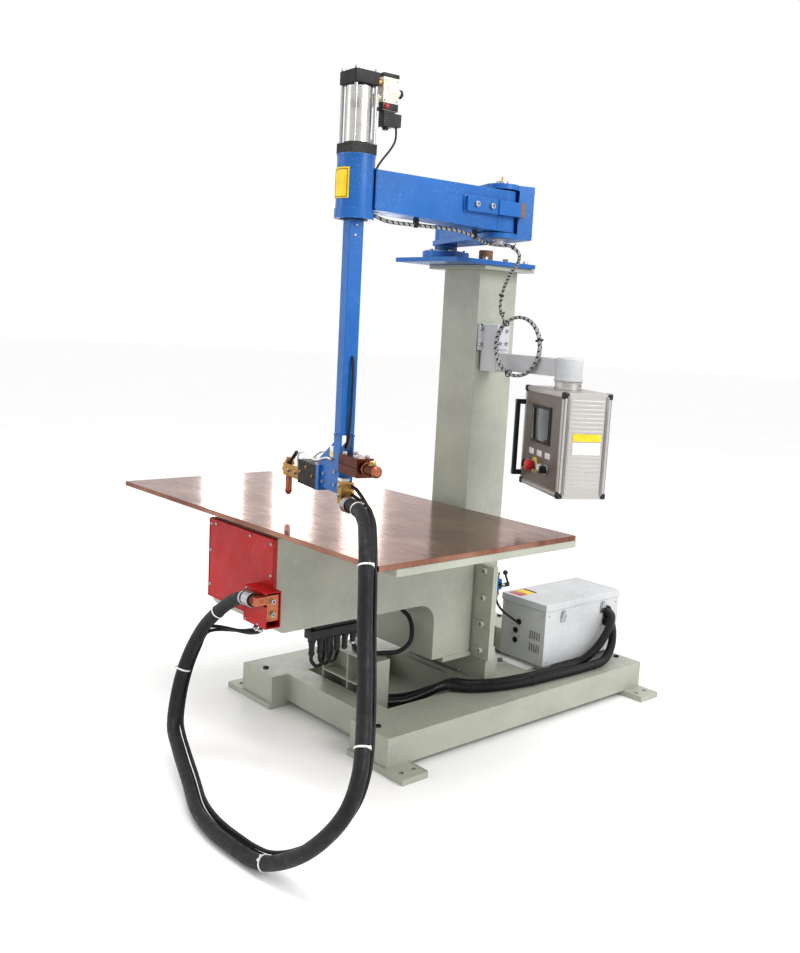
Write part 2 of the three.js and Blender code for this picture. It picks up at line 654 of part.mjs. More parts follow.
// The spiral-wrapped signal cable runs under the upper arm, turns at the elbow and drops to the
// support arm of the operator panel, where its spare length hangs as a ring.
const signalCable = route([
  [392, -618, 1764], [404, -580, 1752], [410, -429, 1752], [418, -301, 1752], [414, -222, 1742], [402, -177, 1733],
  [390, -125, 1727], [404, -84, 1725], [428, -62, 1723], [440, -36, 1704], [410, 0, 1680], [330, 50, 1640],
  [262, 90, 1580], [240, 108, 1520], [262, 112, 1482],
]);
const signalCuts = [
  { name: 'signal_cable_arm', start: 0, end: 0.53, steps: 20 },
  { name: 'signal_cable_drop', start: 0.53, end: 1, steps: 16 },
];
for (const { name, start, end, steps } of signalCuts) {
  const seam = start === 0 ? 0 : 0.0004;
  add(machine, name, cord(SIGNAL_CABLE, new Stretch(signalCable, start + seam, end), steps), GREY);
}

const RING = { x: 330, y: 112, z: 1395, radius: 102, thick: 8 };
function signalCoil() {
  const profile = [];
  for (let corner = 0; corner <= 8; corner += 1) {
    const angle = (2 * Math.PI * corner) / 8;
    profile.push(new THREE.Vector2(RING.radius + RING.thick * Math.cos(angle), RING.thick * Math.sin(angle)));
  }
  return new THREE.LatheGeometry(profile, 32).translate(RING.x, RING.y, RING.z);
}
add(machine, 'signal_cable_coil', signalCoil(), GREY);

// Two corrugated conduits leave the cabinet side by side, lie along the right beam and drop onto the deck.
const conduitRoutes = {
  conduit_a: [[297, 800, 318], [306, 800, 318], [334, 790, 308], [350, 756, 262], [345, 690, 190],
    [338, 600, 147], [336, 500, 143],
    [334, 400, 143], [322, 250, 143], [296, 130, 143], [256, 52, 144], [214, 10, 145], [164, -30, 114],
    [95, -85, 74], [50, -122, 58], [12, -154, 53]],
  conduit_b: [[297, 800, 283], [308, 800, 283], [336, 797, 262], [358, 776, 202], [380, 706, 152],
    [380, 600, 142],
    [372, 400, 142], [360, 250, 142], [334, 130, 142], [294, 38, 143], [258, -6, 144], [216, -44, 141],
    [168, -86, 106], [110, -135, 68], [40, -190, 51]],
};
for (const [name, points] of Object.entries(conduitRoutes)) {
  add(machine, name, cord(CONDUIT, route(points), 28), BLACK);
}

add(machine, 'water_hose_loop', cord(16, route([[138, -417, 371.4], [138, -417, 362], [125, -385, 315],
  [110, -320, 288], [100, -240, 272], [100, -165, 264], [100, -114, 288], [100, -106, 340], [100, -125, 390],
  [100, -162, 425], [100, -170, 448], [100, -170, 456.5]]), 24), BLACK);

export default machine;
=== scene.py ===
"""Looks of the table spot welder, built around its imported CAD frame.

Shapes are drawn in millimetres in the axes of a station (the machine, the swing link, the upper arm,
the ram, the air cylinder or the operator panel) and turned into metres when a piece is finished.
"""

import json
import math

import bmesh
import bpy
from mathutils import Matrix, Vector


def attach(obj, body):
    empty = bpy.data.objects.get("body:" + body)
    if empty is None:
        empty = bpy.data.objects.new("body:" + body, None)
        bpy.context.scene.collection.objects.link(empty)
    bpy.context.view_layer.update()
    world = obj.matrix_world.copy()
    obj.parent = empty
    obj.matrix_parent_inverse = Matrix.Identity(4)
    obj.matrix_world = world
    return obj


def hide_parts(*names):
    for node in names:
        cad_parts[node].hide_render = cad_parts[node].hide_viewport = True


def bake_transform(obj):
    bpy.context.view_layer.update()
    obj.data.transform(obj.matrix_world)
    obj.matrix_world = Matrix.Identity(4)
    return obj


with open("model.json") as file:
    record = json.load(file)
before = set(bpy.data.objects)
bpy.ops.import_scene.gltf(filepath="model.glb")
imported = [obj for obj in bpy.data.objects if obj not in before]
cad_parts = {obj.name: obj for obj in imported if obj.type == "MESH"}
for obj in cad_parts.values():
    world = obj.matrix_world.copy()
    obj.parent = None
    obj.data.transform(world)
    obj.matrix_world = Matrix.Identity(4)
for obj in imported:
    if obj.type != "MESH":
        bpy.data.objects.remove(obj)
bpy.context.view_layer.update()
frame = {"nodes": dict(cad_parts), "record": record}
NODES = frame["nodes"]
MM = 0.001

# ---- stations: where each turned assembly stands, as in the CAD ----


def station(x, y, degrees):
    return Matrix.Translation((x, y, 0)) @ Matrix.Rotation(math.radians(degrees), 4, "Z")


MACHINE = Matrix.Identity(4)
LINK_LENGTH = 457
ARM_LENGTH = 570
ARM_ANGLE = -4
LINK = station(0, 50, -21.57)
ELBOW = LINK @ Vector((LINK_LENGTH, 0, 0))
ARM = station(ELBOW.x, ELBOW.y, ARM_ANGLE)
HEAD = ARM @ Vector((0, -ARM_LENGTH, 0))
TOOL = station(HEAD.x, HEAD.y, -12.7)
CYLINDER = station(HEAD.x, HEAD.y, ARM_ANGLE)
PANEL = station(559.5, 124, -27)

RIGHT = Vector((1, 0, 0))
FRONT, BACK = Vector((0, -1, 0)), Vector((0, 1, 0))
DOWN, UP = Vector((0, 0, -1)), Vector((0, 0, 1))

# ---- camera ----


def camera():
    """The long-lens view from the front right, set by its place, its heading and its slight roll."""
    azimuth, pitch, roll = (math.radians(a) for a in (48.452, 8.6985, 3.0188))
    ahead = Vector((-math.sin(azimuth), math.cos(azimuth), 0))
    forward = ahead * math.cos(pitch) - Vector((0, 0, math.sin(pitch)))
    level = Vector((math.cos(azimuth), math.sin(azimuth), 0))
    upward = level.cross(forward)
    right = math.cos(roll) * level + math.sin(roll) * upward
    top = math.cos(roll) * upward - math.sin(roll) * level
    data = bpy.data.cameras.new("camera")
    data.lens = 37.789
    data.sensor_width = 36
    data.shift_x = -0.0021
    data.shift_y = -0.0017
    data.clip_end = 100
    view = bpy.data.objects.new("camera", data)
    place = Matrix.Translation((2.73264, -2.52781, 1.46083))
    view.matrix_world = place @ Matrix((right, top, -forward)).transposed().to_4x4()
    bpy.context.scene.collection.objects.link(view)
    bpy.context.scene.camera = view


camera()

# ---- finishes ----


class Finish:
    """A material whose nodes are added one effect at a time, all placed in the machine's own metres."""

    def __init__(self, name, colour, roughness, metallic=0.0, **constants):
        self.material = bpy.data.materials.new(name)
        self.material.use_nodes = True
        self.nodes = self.material.node_tree.nodes
        self.links = self.material.node_tree.links
        self.shader = self.nodes["Principled BSDF"]
        self.set("Base Color", (*colour, 1))
        self.set("Roughness", roughness)
        self.set("Metallic", metallic)
        for socket, value in constants.items():
            self.set(socket.replace("_", " "), value)
        self.colour = colour
        self.last_colour = None
        self.place = self.nodes.new("ShaderNodeTexCoord").outputs["Object"]

    def set(self, socket, value):
        self.shader.inputs[socket].default_value = value

    def noise(self, scale, detail=3.0, stretch=(1, 1, 1), twist=0.0):
        mapping = self.nodes.new("ShaderNodeMapping")
        mapping.inputs["Scale"].default_value = stretch
        texture = self.nodes.new("ShaderNodeTexNoise")
        texture.inputs["Scale"].default_value = scale
        texture.inputs["Detail"].default_value = detail
        texture.inputs["Distortion"].default_value = twist
        self.links.new(self.place, mapping.inputs["Vector"])
        self.links.new(mapping.outputs["Vector"], texture.inputs["Vector"])
        return texture.outputs["Fac"]

    def waves(self, scale, direction="X", twist=0.0):
        texture = self.nodes.new("ShaderNodeTexWave")
        texture.bands_direction = direction
        texture.inputs["Scale"].default_value = scale
        texture.inputs["Distortion"].default_value = twist
        self.links.new(self.place, texture.inputs["Vector"])
        return texture.outputs["Fac"]

    def edges(self, radius=0.0025):
        """0 on flat faces, rising towards 1 on outside edges."""
        soft = self.nodes.new("ShaderNodeBevel")
        soft.samples = 4
        soft.inputs["Radius"].default_value = radius
        true = self.nodes.new("ShaderNodeNewGeometry")
        dot = self.nodes.new("ShaderNodeVectorMath")
        dot.operation = "DOT_PRODUCT"
        self.links.new(soft.outputs["Normal"], dot.inputs[0])
        self.links.new(true.outputs["True Normal"], dot.inputs[1])
        return self.ranged(dot.outputs["Value"], 0.995, 0.75, 0, 1)

    def ranged(self, value, low, high, to_low=0.0, to_high=1.0):
        node = self.nodes.new("ShaderNodeMapRange")
        for socket, number in zip(("From Min", "From Max", "To Min", "To Max"), (low, high, to_low, to_high)):
            node.inputs[socket].default_value = number
        self.links.new(value, node.inputs["Value"])
        return node.outputs["Result"]

    def times(self, first, second):
        node = self.nodes.new("ShaderNodeMath")
        node.operation = "MULTIPLY"
        self.links.new(first, node.inputs[0])
        self.links.new(second, node.inputs[1])
        return node.outputs["Value"]

    def tint(self, colour, amount):
        mix = self.nodes.new("ShaderNodeMix")
        mix.data_type = "RGBA"
        first, second = mix.inputs[6], mix.inputs[7]
        first.default_value = (*self.colour, 1)
        second.default_value = (*colour, 1)
        if self.last_colour:
            self.links.new(self.last_colour, first)
        self.links.new(amount, mix.inputs["Factor"])
        self.last_colour = mix.outputs[2]
        self.links.new(self.last_colour, self.shader.inputs["Base Color"])
        return self

    def cloud(self, colour, scale, detail, low, high, most=1.0, stretch=(1, 1, 1), twist=0.0):
        """Mixes a colour in where a noise rises from low to high."""
        return self.tint(colour, self.ranged(self.noise(scale, detail, stretch, twist), low, high, 0, most))

    def rough(self, value, low, high):
        self.links.new(self.ranged(value, 0.3, 0.7, low, high), self.shader.inputs["Roughness"])
        return self

    def bump(self, value, strength, distance):
        node = self.nodes.new("ShaderNodeBump")
        node.inputs["Strength"].default_value = strength
        node.inputs["Distance"].default_value = distance
        self.links.new(value, node.inputs["Height"])
        if self.shader.inputs["Normal"].is_linked:
            self.links.new(self.shader.inputs["Normal"].links[0].from_socket, node.inputs["Normal"])
        self.links.new(node.outputs["Normal"], self.shader.inputs["Normal"])
        return self


def shade(colour, amount):
    return tuple(min(1, c * amount) for c in colour)


def enamel(name, colour, roughness=0.4, coat=0.2, bare=None):
    """Sprayed paint: uneven tone, a light orange peel, a little dust and worn outside edges."""
    finish = Finish(name, colour, roughness, Coat_Weight=coat, Coat_Roughness=0.2)
    finish.cloud(shade(colour, 0.84), 5, 4, 0.38, 0.72)
    finish.cloud(shade(colour, 1.12), 60, 3, 0.5, 0.8, 0.5)
    dust = finish.times(finish.ranged(finish.noise(420, 2), 0.64, 0.74),
                        finish.ranged(finish.noise(9, 2), 0.45, 0.65))
    finish.tint((0.55, 0.52, 0.48), dust)
    wear = finish.times(finish.edges(), finish.ranged(finish.noise(48, 4), 0.5, 0.62))
    finish.tint(bare or shade(colour, 1.7), wear)
    finish.rough(finish.noise(22, 4), roughness - 0.08, roughness + 0.12)
    finish.bump(finish.noise(330, 2), 0.12, 0.0004)
    return finish.bump(finish.noise(28, 2), 0.05, 0.001).material


def bright_metal(name, colour, roughness=0.3, grain=(1, 1, 40), stain=None):
    """Bare metal with brush marks along the axes where grain is small, fine scratches and stains."""
    finish = Finish(name, colour, roughness, 1.0)
    brush = finish.noise(30, 5, grain)
    finish.tint(shade(colour, 0.72), finish.ranged(brush, 0.35, 0.75, 0, 0.7))
    finish.cloud(stain or shade(colour, 0.55), 14, 5, 0.56, 0.72, 0.7, twist=1.5)
    wear = finish.times(finish.edges(0.0015), finish.ranged(finish.noise(90, 3), 0.4, 0.6))
    finish.tint(shade(colour, 1.35), wear)
    finish.rough(brush, roughness - 0.07, roughness + 0.16)
    return finish.bump(brush, 0.12, 0.0003).material


def copper_plate():
    """The welding table: polished copper with long wipe marks, cloudy heat stains and spatter dots."""
    colour = (0.30, 0.145, 0.10)
    finish = Finish("copper_plate", colour, 0.2, 1.0)
    wipes = finish.noise(9, 6, (1, 9, 1), 0.6)
    finish.tint((0.20, 0.095, 0.07), finish.ranged(wipes, 0.36, 0.7))
    finish.cloud((0.42, 0.25, 0.19), 2.6, 5, 0.42, 0.66, 0.75, twist=2.0)
    finish.cloud((0.30, 0.19, 0.16), 17, 6, 0.6, 0.74, 0.6, twist=1.2)
    finish.cloud((0.09, 0.06, 0.06), 240, 1, 0.76, 0.82, 0.8)
    finish.tint((0.86, 0.45, 0.30), finish.ranged(finish.edges(0.002), 0, 1, 0, 0.8))
    finish.rough(finish.noise(11, 6, (1, 6, 1), 0.8), 0.07, 0.24)
    return finish.bump(finish.noise(120, 4, (1, 12, 1)), 0.035, 0.0002).material


def polymer(name, colour, roughness=0.5, grain=500, coat=0.0):
    """A moulded plastic: fine moulded grain, slight gloss changes and a little dust."""
    finish = Finish(name, colour, roughness, Coat_Weight=coat)
    finish.cloud(shade(colour, 0.8), 35, 3, 0.4, 0.7)
    finish.cloud(tuple(c * 0.75 + 0.16 for c in colour), 260, 3, 0.6, 0.8, 0.5)
    finish.rough(finish.noise(40, 3), roughness - 0.08, roughness + 0.12)
    return finish.bump(finish.noise(grain, 2), 0.15, 0.0003).material


def hose_rubber():
    """Woven-finish black rubber with chalky scuffs."""
    colour = (0.008, 0.008, 0.010)
    finish = Finish("hose_rubber", colour, 0.55, Sheen_Weight=0.04)
    finish.cloud((0.024, 0.024, 0.027), 30, 5, 0.5, 0.78, twist=1)
    finish.cloud((0.08, 0.078, 0.075), 300, 3, 0.66, 0.8)
    finish.rough(finish.noise(50, 4), 0.36, 0.62)
    finish.bump(finish.noise(700, 2), 0.35, 0.0004)
    return finish.bump(finish.noise(60, 3), 0.1, 0.001).material


def phenolic():
    """Laminated brown board: thin layers one above another."""
    colour = (0.27, 0.15, 0.075)
    finish = Finish("brown_phenolic", colour, 0.55)
    finish.tint((0.16, 0.085, 0.04), finish.ranged(finish.waves(160, "Z", 1.5), 0.2, 0.9))
    finish.cloud((0.42, 0.28, 0.16), 180, 4, 0.55, 0.8)
    finish.rough(finish.noise(60, 3), 0.45, 0.65)
    return finish.bump(finish.waves(160, "Z", 1.5), 0.25, 0.0003).material


def core_steel():
    """The transformer's stacked sheets and the rough castings inside the machine."""
    colour = (0.2, 0.2, 0.21)
    finish = Finish("core_steel", colour, 0.45, 0.9)
    finish.tint((0.08, 0.075, 0.07), finish.ranged(finish.waves(90, "Y", 0.5), 0.2, 0.9))
    finish.cloud((0.2, 0.1, 0.05), 30, 4, 0.6, 0.75, 0.5)
    finish.rough(finish.noise(60, 3), 0.35, 0.6)
    return finish.bump(finish.waves(90, "Y", 0.5), 0.4, 0.0005).material


def screen_glass():
    """The switched-off touch screen: near-black glass with a cloudy tone and level smears."""
    finish = Finish("screen_glass", (0.008, 0.009, 0.012), 0.08, Coat_Weight=1.0, Coat_Roughness=0.03)
    finish.cloud((0.02, 0.024, 0.032), 22, 3, 0.45, 0.65)
    finish.cloud((0.05, 0.05, 0.05), 60, 5, 0.62, 0.8, 0.5, stretch=(1, 1, 4), twist=1.0)
    return finish.rough(finish.noise(18, 5, twist=1.2), 0.05, 0.16).material


FINISHES = {
    "blue_paint": enamel("blue_paint", (0.008, 0.135, 0.42), 0.34, bare=(0.13, 0.3, 0.52)),
    "cream_paint": enamel("cream_paint", (0.435, 0.45, 0.385), 0.42, bare=(0.60, 0.62, 0.56)),
    "red_paint": enamel("red_paint", (0.46, 0.004, 0.005), 0.4, 0.05, bare=(0.5, 0.06, 0.05)),
    "grey_paint": enamel("grey_paint", (0.60, 0.61, 0.62), 0.45, bare=(0.75, 0.75, 0.75)),
    "black_paint": enamel("black_paint", (0.008, 0.008, 0.009), 0.46, 0.0, bare=(0.14, 0.14, 0.15)),
    "panel_aluminium": bright_metal("panel_aluminium", (0.60, 0.58, 0.56), 0.36, (1, 1, 60),
                                    (0.52, 0.50, 0.48)),
    "cylinder_aluminium": bright_metal("cylinder_aluminium", (0.66, 0.64, 0.61), 0.24, (1, 1, 50)),
    "steel": bright_metal("steel", (0.52, 0.52, 0.54), 0.3, (1, 1, 30), (0.3, 0.27, 0.24)),
    "copper": bright_metal("copper", (0.50, 0.20, 0.12), 0.32, (8, 8, 8), (0.2, 0.09, 0.07)),
    "brass": bright_metal("brass", (0.58, 0.36, 0.13), 0.3, (1, 1, 20), (0.3, 0.19, 0.09)),
    "hose_rubber": hose_rubber(),
    "black_plastic": polymer("black_plastic", (0.018, 0.018, 0.02), 0.42),
    "conduit_plastic": polymer("conduit_plastic", (0.012, 0.012, 0.014), 0.34, coat=0.3),
    "wrap_plastic": polymer("wrap_plastic", (0.42, 0.41, 0.40), 0.45),
    "white_plastic": polymer("white_plastic", (0.78, 0.78, 0.76), 0.35, coat=0.2),
    "ivory_plastic": polymer("ivory_plastic", (0.70, 0.66, 0.57), 0.45),
    "red_plastic": polymer("red_plastic", (0.52, 0.008, 0.012), 0.3, coat=0.4),
    "insulator": polymer("insulator", (0.022, 0.019, 0.017), 0.5, 900),
    "brown_phenolic": phenolic(),
}
COPPER_PLATE = copper_plate()
CORE_STEEL = core_steel()
SCREEN = screen_glass()
# the panel aluminium in the darker tone of its front: painted shade for the panel's front plate
PANEL_FACE_SHADE = enamel("painted_shade_panel_face", (0.185, 0.155, 0.135), 0.42, bare=(0.4, 0.36, 0.33))
YELLOW_LABEL = polymer("yellow_label", (0.86, 0.62, 0.03), 0.4)
# near-black: painted shade inside slits, slots and holes, and also dark print on labels
GAP_SHADE_AND_DARK_PRINT = polymer("gap_shade_and_dark_print", (0.006, 0.006, 0.006), 0.7)

ARM_GREY = enamel("arm_grey", (0.56, 0.57, 0.58), 0.5, bare=(0.75, 0.75, 0.76))
DARK_COPPER = bright_metal("dark_copper", (0.17, 0.06, 0.04), 0.3, (8, 8, 8), (0.06, 0.03, 0.025))

NODE_FINISHES = {"copper_table": COPPER_PLATE, "transformer": CORE_STEEL, "control_module": CORE_STEEL,
                 "hmi_support_arm": ARM_GREY, "rod_clamp": DARK_COPPER, "electrode_rod": DARK_COPPER}

# ---- finished CAD nodes: eased edges, smooth round faces ----


def smooth_by_angle(limit=35):
    """A node group that shades faces smooth and keeps the edges sharper than the limit."""
    group = bpy.data.node_groups.new("smooth_by_angle", "GeometryNodeTree")
    group.interface.new_socket("Geometry", in_out="INPUT", socket_type="NodeSocketGeometry")
    group.interface.new_socket("Geometry", in_out="OUTPUT", socket_type="NodeSocketGeometry")
    source, target = group.nodes.new("NodeGroupInput"), group.nodes.new("NodeGroupOutput")
    faces, sharp = (group.nodes.new("GeometryNodeSetShadeSmooth") for _ in range(2))
    sharp.domain = "EDGE"
    sharp.inputs["Shade Smooth"].default_value = False
    angle = group.nodes.new("GeometryNodeInputMeshEdgeAngle")
    above = group.nodes.new("FunctionNodeCompare")
    above.inputs["B"].default_value = math.radians(limit)
    group.links.new(angle.outputs["Unsigned Angle"], above.inputs["A"])
    group.links.new(above.outputs["Result"], sharp.inputs["Selection"])
    group.links.new(source.outputs[0], faces.inputs["Geometry"])
    group.links.new(faces.outputs[0], sharp.inputs["Geometry"])
    group.links.new(sharp.outputs[0], target.inputs[0])
    return group


SMOOTH = smooth_by_angle()
EDGE = {"copper_table": 1.6, "base_frame": 6, "column": 4, "lower_arm": 4, "ram_tube": 3.5, "pedestal": 3,
        "table_subframe": 2.5, "hmi_box": 7, "hmi_handle": 5, "cylinder_upper_cap": 4,
        "cylinder_lower_cap": 2.5, "valve_coil": 3, "hmi_support_arm": 6, "cabinet_lid": 3,
        "cabinet_body": 1.2, "terminal_hood": 1.2, "front_cover": 4, "estop_button": 4, "push_button": 2,
        "electrode_rod": 5, "piston_rod": 1}


def finish_nodes():
    for part in frame["record"]["subparts"]:
        name = part["node"]
        node = NODES[name]
        node.data.materials.clear()
        node.data.materials.append(NODE_FINISHES.get(name, FINISHES[part["material_slot"]]))
        node.modifiers.new("weld", "WELD").merge_threshold = 1e-5
        flat = node.modifiers.new("flat", "DECIMATE")
        flat.decimate_type = "DISSOLVE"
        flat.angle_limit = math.radians(0.6)
        bevel = node.modifiers.new("edges", "BEVEL")
        bevel.width = EDGE.get(name, 1.5) * MM
        bevel.segments = 3
        bevel.limit_method = "ANGLE"
        bevel.angle_limit = math.radians(32)
        node.modifiers.new("smooth", "NODES").node_group = SMOOTH
        node.modifiers.new("normals", "WEIGHTED_NORMAL").keep_sharp = True


# ---- small shapes, each a closed solid drawn about its own +Z ----


def block(x0, x1, y0, y1, z0, z1, edge=1.0):
    shape = bmesh.new()
    size = (x1 - x0, y1 - y0, z1 - z0)
    bmesh.ops.create_cube(shape, size=1)
    shape.transform(Matrix.Translation(((x0 + x1) / 2, (y0 + y1) / 2, (z0 + z1) / 2))
                    @ Matrix.Diagonal((*size, 1)))
    reach = min(edge, min(size) * 0.35)
    bmesh.ops.bevel(shape, geom=list(shape.edges), offset=reach, segments=2, profile=0.6, affect="EDGES")
    return shape


def turned(profile, sides=24):
    """A lathe shape from (radius, height) points; a third value of 1 makes that ring a hexagon."""
    shape = bmesh.new()
    rings = []
    for point in profile:
        radius, height, six = (*point, 0)[:3]
        if radius == 0:
            rings.append([shape.verts.new((0, 0, height))])
            continue
        ring = []
        for side in range(sides):
            angle = 2 * math.pi * side / sides
            flat = math.cos((angle + math.pi / 6) % (math.pi / 3) - math.pi / 6) if six else 1
            across, along = radius / flat * math.cos(angle), radius / flat * math.sin(angle)
            ring.append(shape.verts.new((across, along, height)))
        rings.append(ring)
    for low, high in zip(rings, rings[1:]):
        for side in range(sides):
            near, far = side, (side + 1) % sides
            corners = [low[near % len(low)], low[far % len(low)], high[far % len(high)],
                       high[near % len(high)]]
            shape.faces.new(list(dict.fromkeys(corners)))
    bmesh.ops.recalc_face_normals(shape, faces=shape.faces)
    return shape


def drum(radius, height, edge=1.0, sides=28):
    e = min(edge, radius * 0.4, height * 0.4)
    return turned([(0, 0), (radius - e, 0), (radius - e * 0.3, e * 0.3), (radius, e), (radius, height - e),
                   (radius - e * 0.3, height - e * 0.3), (radius - e, height), (0, height)], sides)


def ring(outer, inner, height, edge=0.8, sides=32):
    e = min(edge, (outer - inner) * 0.3, height * 0.4)
    loop = [(inner, e), (inner + e, 0), (outer - e, 0), (outer, e), (outer, height - e), (outer - e, height),
            (inner + e, height), (inner, height - e), (inner, e)]
    return turned(loop, sides)


def cap_screw(radius, height):
    """A socket-cap head with its hexagon recess, standing on its seat."""
    key = radius * 0.52
    return turned([(0, -0.6), (radius, -0.6), (radius, height * 0.86), (radius * 0.9, height),
                   (key * 1.15, height), (key, height * 0.94, 1), (key, height * 0.45, 1), (0, height * 0.4)])


def hex_bolt(radius, height, washer=True):
    start = [(0, -0.6), (radius * 1.35, -0.6), (radius * 1.35, radius * 0.16)] if washer else [(0, -0.6)]
    seat = radius * 0.16 if washer else -0.6
    return turned([*start, (radius * 0.94, seat), (radius * 0.94, height * 0.88, 1), (radius * 0.86, height),
                   (0, height)])


def pan_screw(radius, height):
    return turned([(0, -0.4), (radius, -0.4), (radius * 0.97, height * 0.35), (radius * 0.75, height * 0.85),
                   (radius * 0.35, height), (radius * 0.3, height * 0.7), (0, height * 0.5)], 16)


def unite(shape):
    bmesh.ops.remove_doubles(shape, verts=shape.verts, dist=1e-4)
    return shape


def facing(point, direction, spin=0.0):
    """Takes a shape drawn about +Z to stand at a point and look in a direction."""
    turn = Vector(direction).to_track_quat("Z", "Y").to_matrix().to_4x4()
    return Matrix.Translation(point) @ turn @ Matrix.Rotation(math.radians(spin), 4, "Z")


class Piece:
    """One named visual piece of a body, gathered from small shapes in a station's axes. Shapes take the
    finish of the piece's slot unless another is named."""

    def __init__(self, name, slot, body="base", where=MACHINE):
        self.name = name
        self.slot = slot
        self.body = body
        self.where = where
        self.mesh = bmesh.new()
        self.materials = []

    def add(self, shape, place=MACHINE, finish=None, also=None):
        """Takes a shape over. Its faces with material index 1 get the second finish, also."""
        shape.transform(place)
        finish = finish or self.slot
        for face in shape.faces:
            material = also if face.material_index else FINISHES.get(finish, finish)
            if material not in self.materials:
                self.materials.append(material)
            face.material_index = self.materials.index(material)
        spare = bpy.data.meshes.new("spare")
        shape.to_mesh(spare)
        shape.free()
        self.mesh.from_mesh(spare)
        bpy.data.meshes.remove(spare)

    def screws(self, head, sizes, spots, direction, finish=None):
        """A screw head at each spot, each turned a little further than the last."""
        for index, spot in enumerate(spots):
            self.add(head(*sizes), facing(spot, direction, 17 * index), finish)

    def bead(self, start, end, radius, ripple=0.12):
        """A straight weld bead; ripple gives it its scales."""
        line = evenly([Vector(start), Vector(end)], 2.5)
        self.add(swept(line, radius, 8, lambda distance, angle: 1 + ripple * math.sin(distance * 1.6)))

    def done(self):
        """Makes the Blender object, in metres, with its sharp edges marked, and sets it on its body."""
        self.mesh.transform(Matrix.Scale(MM, 4) @ self.where)
        for face in self.mesh.faces:
            face.smooth = True
        for edge in self.mesh.edges:
            edge.smooth = len(edge.link_faces) == 2 and edge.calc_face_angle(4) < math.radians(38)
        data = bpy.data.meshes.new(self.name)
        self.mesh.to_mesh(data)
        self.mesh.free()
        for material in self.materials:
            data.materials.append(material)
        piece = bpy.data.objects.new(self.name, data)
        bpy.context.scene.collection.objects.link(piece)
        if self.body:
            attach(piece, self.body)
        return piece


def fasten(name, slot, *rows, body="base", where=MACHINE):
    """A piece of nothing but screws; each row is a head, its sizes, its spots and its direction."""
    piece = Piece(name, slot, body, where)
    for row in rows:
        piece.screws(*row)
    piece.done()


# ---- cords: centripetal lines, cut into lengths by arc, swept into tubes ----


def knot_step(a, b):
    return (b - a).length ** 0.5


def smooth_line(points, step=4.0):
    """The same centripetal Catmull-Rom line as the CAD's, as points an even step apart."""
    knots = [Vector(p) for p in points]
    knots = [2 * knots[0] - knots[1], *knots, 2 * knots[-1] - knots[-2]]
    fine = []
    for p0, p1, p2, p3 in zip(knots, knots[1:], knots[2:], knots[3:]):
        t1 = knot_step(p0, p1)
        t2 = t1 + knot_step(p1, p2)
        t3 = t2 + knot_step(p2, p3)
        for part in range(40):
            t = t1 + (t2 - t1) * part / 40
            a1 = p0.lerp(p1, t / t1)
            a2 = p1.lerp(p2, (t - t1) / (t2 - t1))
            a3 = p2.lerp(p3, (t - t2) / (t3 - t2))
            b1 = a1.lerp(a2, t / t2)
            b2 = a2.lerp(a3, (t - t1) / (t3 - t1))
            fine.append(b1.lerp(b2, (t - t1) / (t2 - t1)))
    fine.append(knots[-2])
    return evenly(fine, step)


def evenly(line, step):
    reach = [0.0]
    for a, b in zip(line, line[1:]):
        reach.append(reach[-1] + (b - a).length)
    count = max(2, round(reach[-1] / step))
    spaced, at = [], 0
    for index in range(count + 1):
        goal = reach[-1] * index / count
        while at < len(reach) - 2 and reach[at + 1] < goal:
            at += 1
        spaced.append(line[at].lerp(line[at + 1], (goal - reach[at]) / (reach[at + 1] - reach[at])))
    return spaced


def stretch(line, start, end):
    last = len(line) - 1
    return line[round(start * last):round(end * last) + 1]


def swept(line, radius, sides=14, form=None, second=None):
    """A closed tube along a line. form(distance, angle) scales the radius, for ribs and wraps, and
    second(distance, angle) says where the tube takes its second finish."""
    shape = bmesh.new()
    tangents = [(b - a).normalized() for a, b in zip(line, line[1:])]
    tangents = [tangents[0], *[(a + b).normalized() for a, b in zip(tangents, tangents[1:])], tangents[-1]]
    side = tangents[0].orthogonal().normalized()
    rings, distances, distance = [], [], 0.0
    for index, (point, tangent) in enumerate(zip(line, tangents)):
        if index:
            side = (tangents[index - 1].rotation_difference(tangent) @ side).normalized()
            distance += (point - line[index - 1]).length
        other = tangent.cross(side)
        corners = []
        for corner in range(sides):
            angle = 2 * math.pi * corner / sides
            reach = radius * (form(distance, angle) if form else 1)
            spoke = side * math.cos(angle) + other * math.sin(angle)
            corners.append(shape.verts.new(point + spoke * reach))
        rings.append(corners)
        distances.append(distance)
    for low, high, distance in zip(rings, rings[1:], distances):
        for corner in range(sides):
            after = (corner + 1) % sides
            face = shape.faces.new((low[corner], low[after], high[after], high[corner]))
            if second and second(distance, 2 * math.pi * corner / sides):
                face.material_index = 1
    shape.faces.new(rings[0][::-1])
    shape.faces.new(rings[-1])
    return shape


WRAP_PITCH, WRAP_WIDTH = 21, 0.7


def ribbed(pitch, depth):
    return lambda distance, angle: 1 - depth * (0.5 + 0.5 * math.cos(2 * math.pi * distance / pitch)) ** 2


def wrap_turn(distance, angle):
    """How far through one turn of the spiral wrap a point lies, from 0 to 1; its open gap comes last."""
    return (distance / WRAP_PITCH - angle / (2 * math.pi)) % 1


def wrapped(distance, angle):
    turn = wrap_turn(distance, angle)
    return 0.82 if turn > WRAP_WIDTH else 1 - 0.03 * abs(2 * turn / WRAP_WIDTH - 1)


def in_wrap_gap(distance, angle):
    return wrap_turn(distance, angle) > WRAP_WIDTH


def woven(distance, angle):
    return 1 - 0.012 * (1 + math.sin(9 * angle + distance * 0.5) * math.sin(9 * angle - distance * 0.5))


